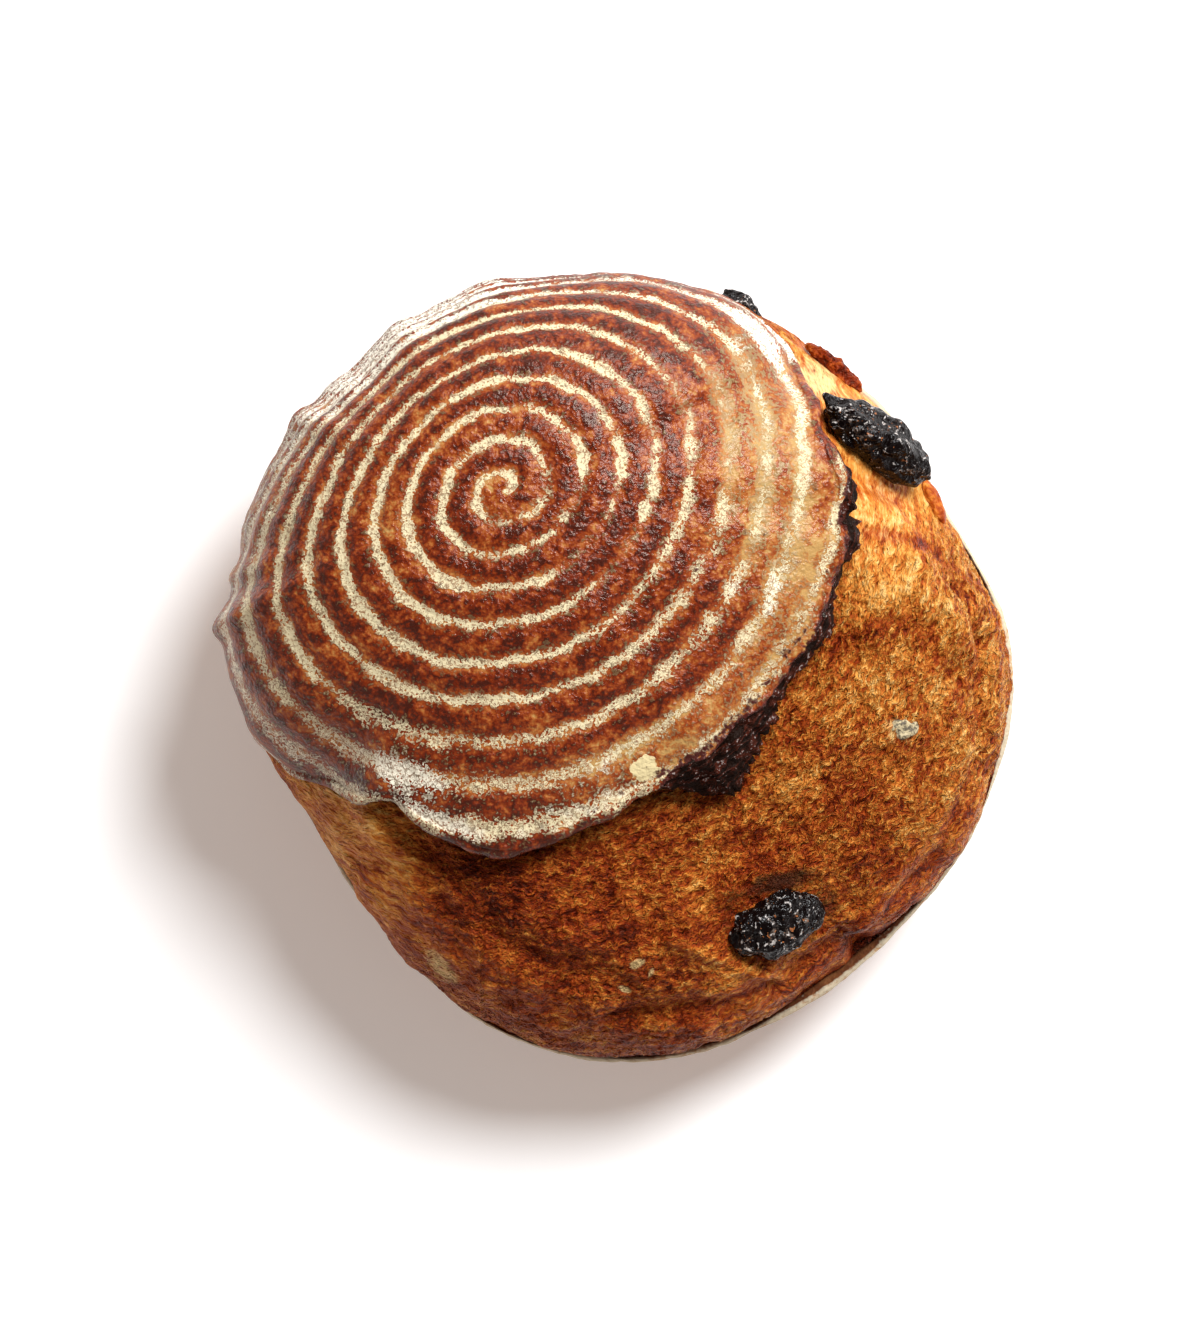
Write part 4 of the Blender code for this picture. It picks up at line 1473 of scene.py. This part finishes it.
    def _strands(self, skin: Skin, grain: Grain) -> np.ndarray:
        """Draw a net of thin strands, longer along the tear than across it.

        Args:
            skin: The smooth skin.
            grain: Noise.

        Returns:
            0 in the pits to 1 on the strands.
        """
        place = np.concatenate([skin.points[..., :2], 1.15 * skin.lengths()[..., None]], -1)
        drift = [grain.lumps(place + 0.1 * axis, self.swirl) for axis in range(3)]
        warped = place + np.stack(drift, -1) * self.swirl_reach
        near, second = grain.cells(warped, self.net)
        net = 1.0 - smooth(0.02, 0.34, second - near)
        crests = grain.ridges(warped, 6.0 * MM, 3)
        ragged = grain.layered(warped, 1.8 * MM, 2)
        return np.clip(0.34 * net + 0.66 * crests + 0.16 * ragged, 0.0, 1.0)

    def _hollow(self, points: np.ndarray) -> np.ndarray:
        """Measure how far the crumb sinks round the fruit.

        Args:
            points: Points on the belly.

        Returns:
            The depth at each point, in metres.
        """
        depth = np.zeros(points.shape[:-1])
        for fruit in FRUITS:
            middle, turn = fruit.place()
            away = (points - np.array(middle)) @ np.array(turn.to_matrix())
            size = np.array([fruit.length, fruit.width, max(fruit.depth, fruit.width)])
            gap = np.linalg.norm(away / (size * MM / 2 * self.hollow_share), axis=-1)
            depth += fruit.hollow * MM * hump(gap, 0.0, 1.0, 4)
        return depth

    def _fields(self, skin: Skin, strand: np.ndarray, sunk: np.ndarray) -> dict[str, np.ndarray]:
        """Work out what the finish reads.

        Args:
            skin: The shaped skin.
            strand: Where the strands are.
            sunk: How deep the grooves and hollows are.

        Returns:
            A value at each point for each field.
        """
        share = skin.share(Stretch.BELLY)
        # painted shade: the tone darkens with the depth of the grooves and the hollows round the fruit, and
        # lightens on the raised folds
        tone = skin.patches(self.tone) + 0.44 - sunk / MM * 0.04 - 0.22 * smooth(0.94, 1.0, share)
        at_tear = hump(turned(skin.bearing), -46.0, 30.0, 4)[None, :]
        # painted shade along the crease under the lip, strongest by the tear
        painted_shade = (1.0 - smooth(0.0, 0.10, share)) * skin.at.open[None, :] * (0.25 + 0.75 * at_tear)
        return {
            "strand": strand,
            "tone": tone,
            "calm": np.clip(skin.patches(self.calm), 0.0, 1.0),
            "pale": skin.patches(self.pale),
            "painted_shade": painted_shade + skin.patches(self.painted_shade),
            "streak": skin.patches(self.streaks) * smooth(0.3, 0.6, share),
            "along": skin.lengths() / MM,
        }


@dataclass(frozen=True)
class LowerCrust:
    """The firm crust below the tear, down to the flat base."""

    segments: int = 720
    hidden_middle: float = 24.0 * MM
    tucked: tuple[float, float] = (4.0 * MM, 2.0 * MM)
    grain_size: float = 4.0 * MM
    grain_relief: float = 0.35 * MM

    def shape(self, grain: Grain) -> bpy.types.Object:
        """Build the lower crust.

        Args:
            grain: Noise for its fine relief.

        Returns:
            The lower crust's object.
        """
        skin = Skin(FORM.spread(self.segments, 20.0))
        skin.pole((0.0, 0.0, self.hidden_middle))
        inner, lower = self.tucked
        skin.straight(Stretch.CAP, skin.ring(skin.at.tear - inner, skin.at.tear_z - lower), 3)
        skin.run(Stretch.RIM, 10, 0).run(Stretch.WALL, 50)
        skin.straight(Stretch.BASE, np.array([0.0, 0.0, 0.0]), 12).settle()
        rim = skin.on(Stretch.RIM)
        on_rim = skin.share(Stretch.RIM)
        down = skin.share(Stretch.WALL)
        wall = skin.on(Stretch.WALL) * (1.0 - down) + rim
        fine = grain.layered(skin.points, self.grain_size, 3) * self.grain_relief
        skin.push(wall * (0.5 * skin.lumps() + 0.4 * skin.crags() + fine))
        flat = skin.on(Stretch.BASE) + skin.on(Stretch.WALL) * (down == 1.0)
        skin.points[..., 2] = np.where(flat > 0, 0.0, np.maximum(skin.points[..., 2], 0.0))
        shoulder = np.clip(wall * 8.0 - 7.0, 0.0, 1.0)
        fields = {
            # painted shade: the rim's top, where it meets the belly, is darkest
            "bake": 0.34 + 0.6 * rim * (1.0 - on_rim) ** 2 + 0.25 * (1.0 - wall),
            "flour": 0.08 + (0.30 * wall ** 2 + 0.32 * shoulder) * (1.0 - rim)
                     + 0.62 * rim * smooth(0.02, 0.22, on_rim),
        }
        return skin.mesh("lower_crust", fields)


@dataclass(frozen=True)
class Fruit:
    """One prune or nut: the seed of its wrinkles, its size in mm and how it lies."""

    name: str
    slot: str
    seed: float
    length: float
    width: float
    depth: float
    heading: float
    tilt: float
    hollow: float
    layers: int
    fold: float = 8.0 * MM
    fold_relief: float = 1.6 * MM

    def place(self) -> tuple[Vector, Euler]:
        """Find where the piece lies and how it is turned."""
        low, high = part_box(self.name)
        return (low + high) / 2, Euler((0.0, math.radians(self.tilt), math.radians(self.heading)))

    def shape(self, grain: Grain) -> bpy.types.Object:
        """Build the piece as a shrivelled ball.

        Args:
            grain: Noise for its wrinkles.

        Returns:
            The piece's object.
        """
        middle, turn = self.place()
        half = np.array([self.length, self.width, self.depth]) * (MM / 2)
        name = self.name + "_flesh"
        made = fresh_mesh(name, bmesh.ops.create_icosphere, subdivisions=self.layers, radius=1.0)
        way = points_of(made)
        shift = Vector((self.seed, 0.0, 17.3))
        wrinkle = np.array([noise.noise(Vector(w) * 2.3 + shift) for w in way.tolist()]) * 0.14
        crease = 0.07 * np.cos(5.0 * np.arctan2(way[:, 2], way[:, 1])) * (1.0 - way[:, 0] ** 2)
        points = way * half * (1.0 + wrinkle + crease)[:, None]
        drift = [grain.lumps(points + 0.2 * axis, 4.0 * MM) for axis in range(3)]
        folds = grain.ridges(points + np.stack(drift, -1) * 1.5 * MM, self.fold, 2)
        points = points + way * ((0.50 - folds) * self.fold_relief)[:, None]
        points = points @ np.array(turn.to_matrix()).T + np.array(middle)
        place_points(made, points, {"crumbs": 0.1 * grain.lumps(points, 6.0 * MM)})
        made.shade_smooth()
        return stand(name, made)


@dataclass(frozen=True)
class Flap:
    """One loose flap of torn crumb: its place from above and its size in mm, and how it stands."""

    name: str
    x: float
    y: float
    rise: float
    length: float
    width: float
    depth: float
    heading: float
    tilt: float
    tone: float
    calm: float

    def shape(self, grain: Grain, bed: bpy.types.Object) -> bpy.types.Object:
        """Build the flap as a rough flattened lump on the belly.

        Args:
            grain: Noise for its crags.
            bed: The belly that it stands on.

        Returns:
            The flap's object.
        """
        bed_points = points_of(bed.data)
        gap = np.linalg.norm(bed_points[:, :2] - np.array([self.x, self.y]) * MM, axis=1)
        top = bed_points[gap < 1.5 * MM + gap.min(), 2].max()
        made = fresh_mesh(self.name, bmesh.ops.create_icosphere, subdivisions=6, radius=1.0)
        way = points_of(made)
        points = way * np.array([self.length, self.width, self.depth]) * (MM / 2)
        crags = grain.layered(points + self.x * MM, 4.0 * MM, 3) * 1.5 * MM
        folds = (grain.ridges(points - self.y * MM, 3.6 * MM, 3) - 0.5) * 1.2 * MM
        points = points + way * ((crags + folds) * (1.0 - 0.8 * self.calm))[:, None]
        turn = Euler((math.radians(self.tilt), 0.0, math.radians(self.heading)))
        foot = np.array([self.x * MM, self.y * MM, top + self.rise * MM])
        points = points @ np.array(turn.to_matrix()).T + foot
        fields = {"strand": 0.59 + folds / MM * 0.3, "tone": self.tone + folds / MM * 0.10, "calm": self.calm,
                  "along": points[:, 2] / MM}
        place_points(made, points, fields)
        made.shade_smooth()
        return stand(self.name, made)


FLAPS = (
    Flap("back_flap", 57.5, 78.6, -1.8, 19.0, 4.6, 4.4, -41.0, 20.0, 0.22, 0.5),
    Flap("side_flap", 83.5, 43.5, -1.0, 13.0, 3.6, 5.0, -66.0, 30.0, 0.42, 0.9),
)

FRUITS = (
    Fruit("prune_shoulder", "prune", 8.8, 35.5, 14.0, 13.5, -35.0, 24.0, 1.8, 6),
    Fruit("prune_belly", "prune", 303.3, 25.0, 19.0, 13.0, 24.0, 8.0, 1.8, 6),
    Fruit("prune_back", "prune", 38.5, 14.0, 7.5, 8.0, -38.0, 8.0, 0.0, 5),
    Fruit("walnut_piece", "walnut", 330.3, 9.6, 7.2, 6.6, 20.0, 6.0, -0.5, 5),
)


@dataclass(frozen=True)
class Studio:
    """Plain pale floor, one large soft lamp from the upper right, and the camera straight above."""

    floor_size: float = 4.0
    floor_colour: Colour = (0.90, 0.90, 0.90)
    floor_glow: float = 0.17
    fill: Colour = (1.0, 0.87, 0.80)
    side_strength: float = 0.74
    top_strength: float = 0.08
    dim_from: float = 0.50
    dim_to: float = 0.85
    lamp_bearing: float = 54.0
    lamp_height: float = 50.0
    lamp_distance: float = 1.5
    lamp_size: float = 0.75
    lamp_power: float = 44.0
    lamp_colour: Colour = (0.96, 0.98, 1.0)
    lens: float = 162.0
    sensor: float = 36.0
    sight: float = 20.0

    def build(self) -> None:
        """Add the floor, the light and the camera."""
        self._floor()
        self._lamp()
        self._world()
        camera = bpy.data.cameras.new("camera")
        camera.lens = self.lens
        camera.sensor_width = self.sensor
        camera.clip_end = self.sight
        eye = bpy.data.objects.new("camera", camera)
        eye.location = (OVERHEAD.x, OVERHEAD.y, OVERHEAD.height)
        bpy.context.scene.collection.objects.link(eye)
        bpy.context.scene.camera = eye
        bpy.context.scene.view_settings.view_transform = "Standard"

    def _world(self) -> None:
        """Fill the studio with soft light that is dim straight above, as under a dark ceiling."""
        world = bpy.data.worlds.new("studio_fill")
        world.use_nodes = True
        sky = Graph(world.node_tree)
        way = sky.node("ShaderNodeTexCoord", output="Generated")
        height = sky.node("ShaderNodeSeparateXYZ", {}, {0: way}, output="Z")
        span = {"Value": height, "From Min": self.dim_from, "From Max": self.dim_to,
                "To Min": self.side_strength, "To Max": self.top_strength}
        strength = sky.node("ShaderNodeMapRange", {"interpolation_type": "SMOOTHSTEP"}, span)
        backdrop = world.node_tree.nodes["Background"]
        backdrop.inputs["Color"].default_value = (*self.fill, 1.0)
        world.node_tree.links.new(strength.socket, backdrop.inputs["Strength"])
        bpy.context.scene.world = world

    def _floor(self) -> None:
        """Add the floor that the loaf stands on."""
        half = self.floor_size / 2
        mesh = fresh_mesh("floor", bmesh.ops.create_grid, x_segments=1, y_segments=1, size=half)
        floor = stand("floor", mesh)
        finish = Finish("floor_paper", Roughness=1.0, Specular_IOR_Level=0.0)
        finish.shader.inputs["Base Color"].default_value = (*self.floor_colour, 1.0)
        finish.shader.inputs["Emission Color"].default_value = (*self.fill, 1.0)
        finish.shader.inputs["Emission Strength"].default_value = self.floor_glow
        mesh.materials.append(finish.material)

    def _lamp(self) -> None:
        """Add the large soft lamp."""
        light = bpy.data.lights.new("softbox", "AREA")
        light.shape = "DISK"
        light.size = self.lamp_size
        light.energy = self.lamp_power
        light.color = self.lamp_colour
        turn = math.radians(self.lamp_bearing)
        rise = math.radians(self.lamp_height)
        way = Vector((math.cos(turn) * math.cos(rise), math.sin(turn) * math.cos(rise), math.sin(rise)))
        lamp = bpy.data.objects.new("softbox", light)
        lamp.location = way * self.lamp_distance
        lamp.rotation_euler = way.to_track_quat("Z", "Y").to_euler()
        bpy.context.scene.collection.objects.link(lamp)


def main() -> None:
    """Build and dress the loaf, then the studio round it."""
    logging.basicConfig(level=logging.INFO, format="%(name)s: %(message)s")
    grain = Grain(4711)
    lid = Lid()
    cover = lid.shape(grain)
    place_piece(cover, "loaf", "crust", LidFinish().make(), TornFaceFinish().make())
    lid.mark_torn(cover)
    belly = Belly().shape(grain)
    crumb = BellyFinish().make()
    place_piece(belly, "loaf", "crust", crumb)
    for flap in FLAPS:
        place_piece(flap.shape(grain, belly), "loaf", "crust", crumb)
    place_piece(LowerCrust().shape(grain), "loaf", "crust", LowerCrustFinish().make())
    finishes = {"prune": PruneFinish().make(), "walnut": WalnutFinish().make()}
    for fruit in FRUITS:
        place_piece(fruit.shape(grain), fruit.name, fruit.slot, finishes[fruit.slot])
    Studio().build()


if __name__ == "__main__":
    main()
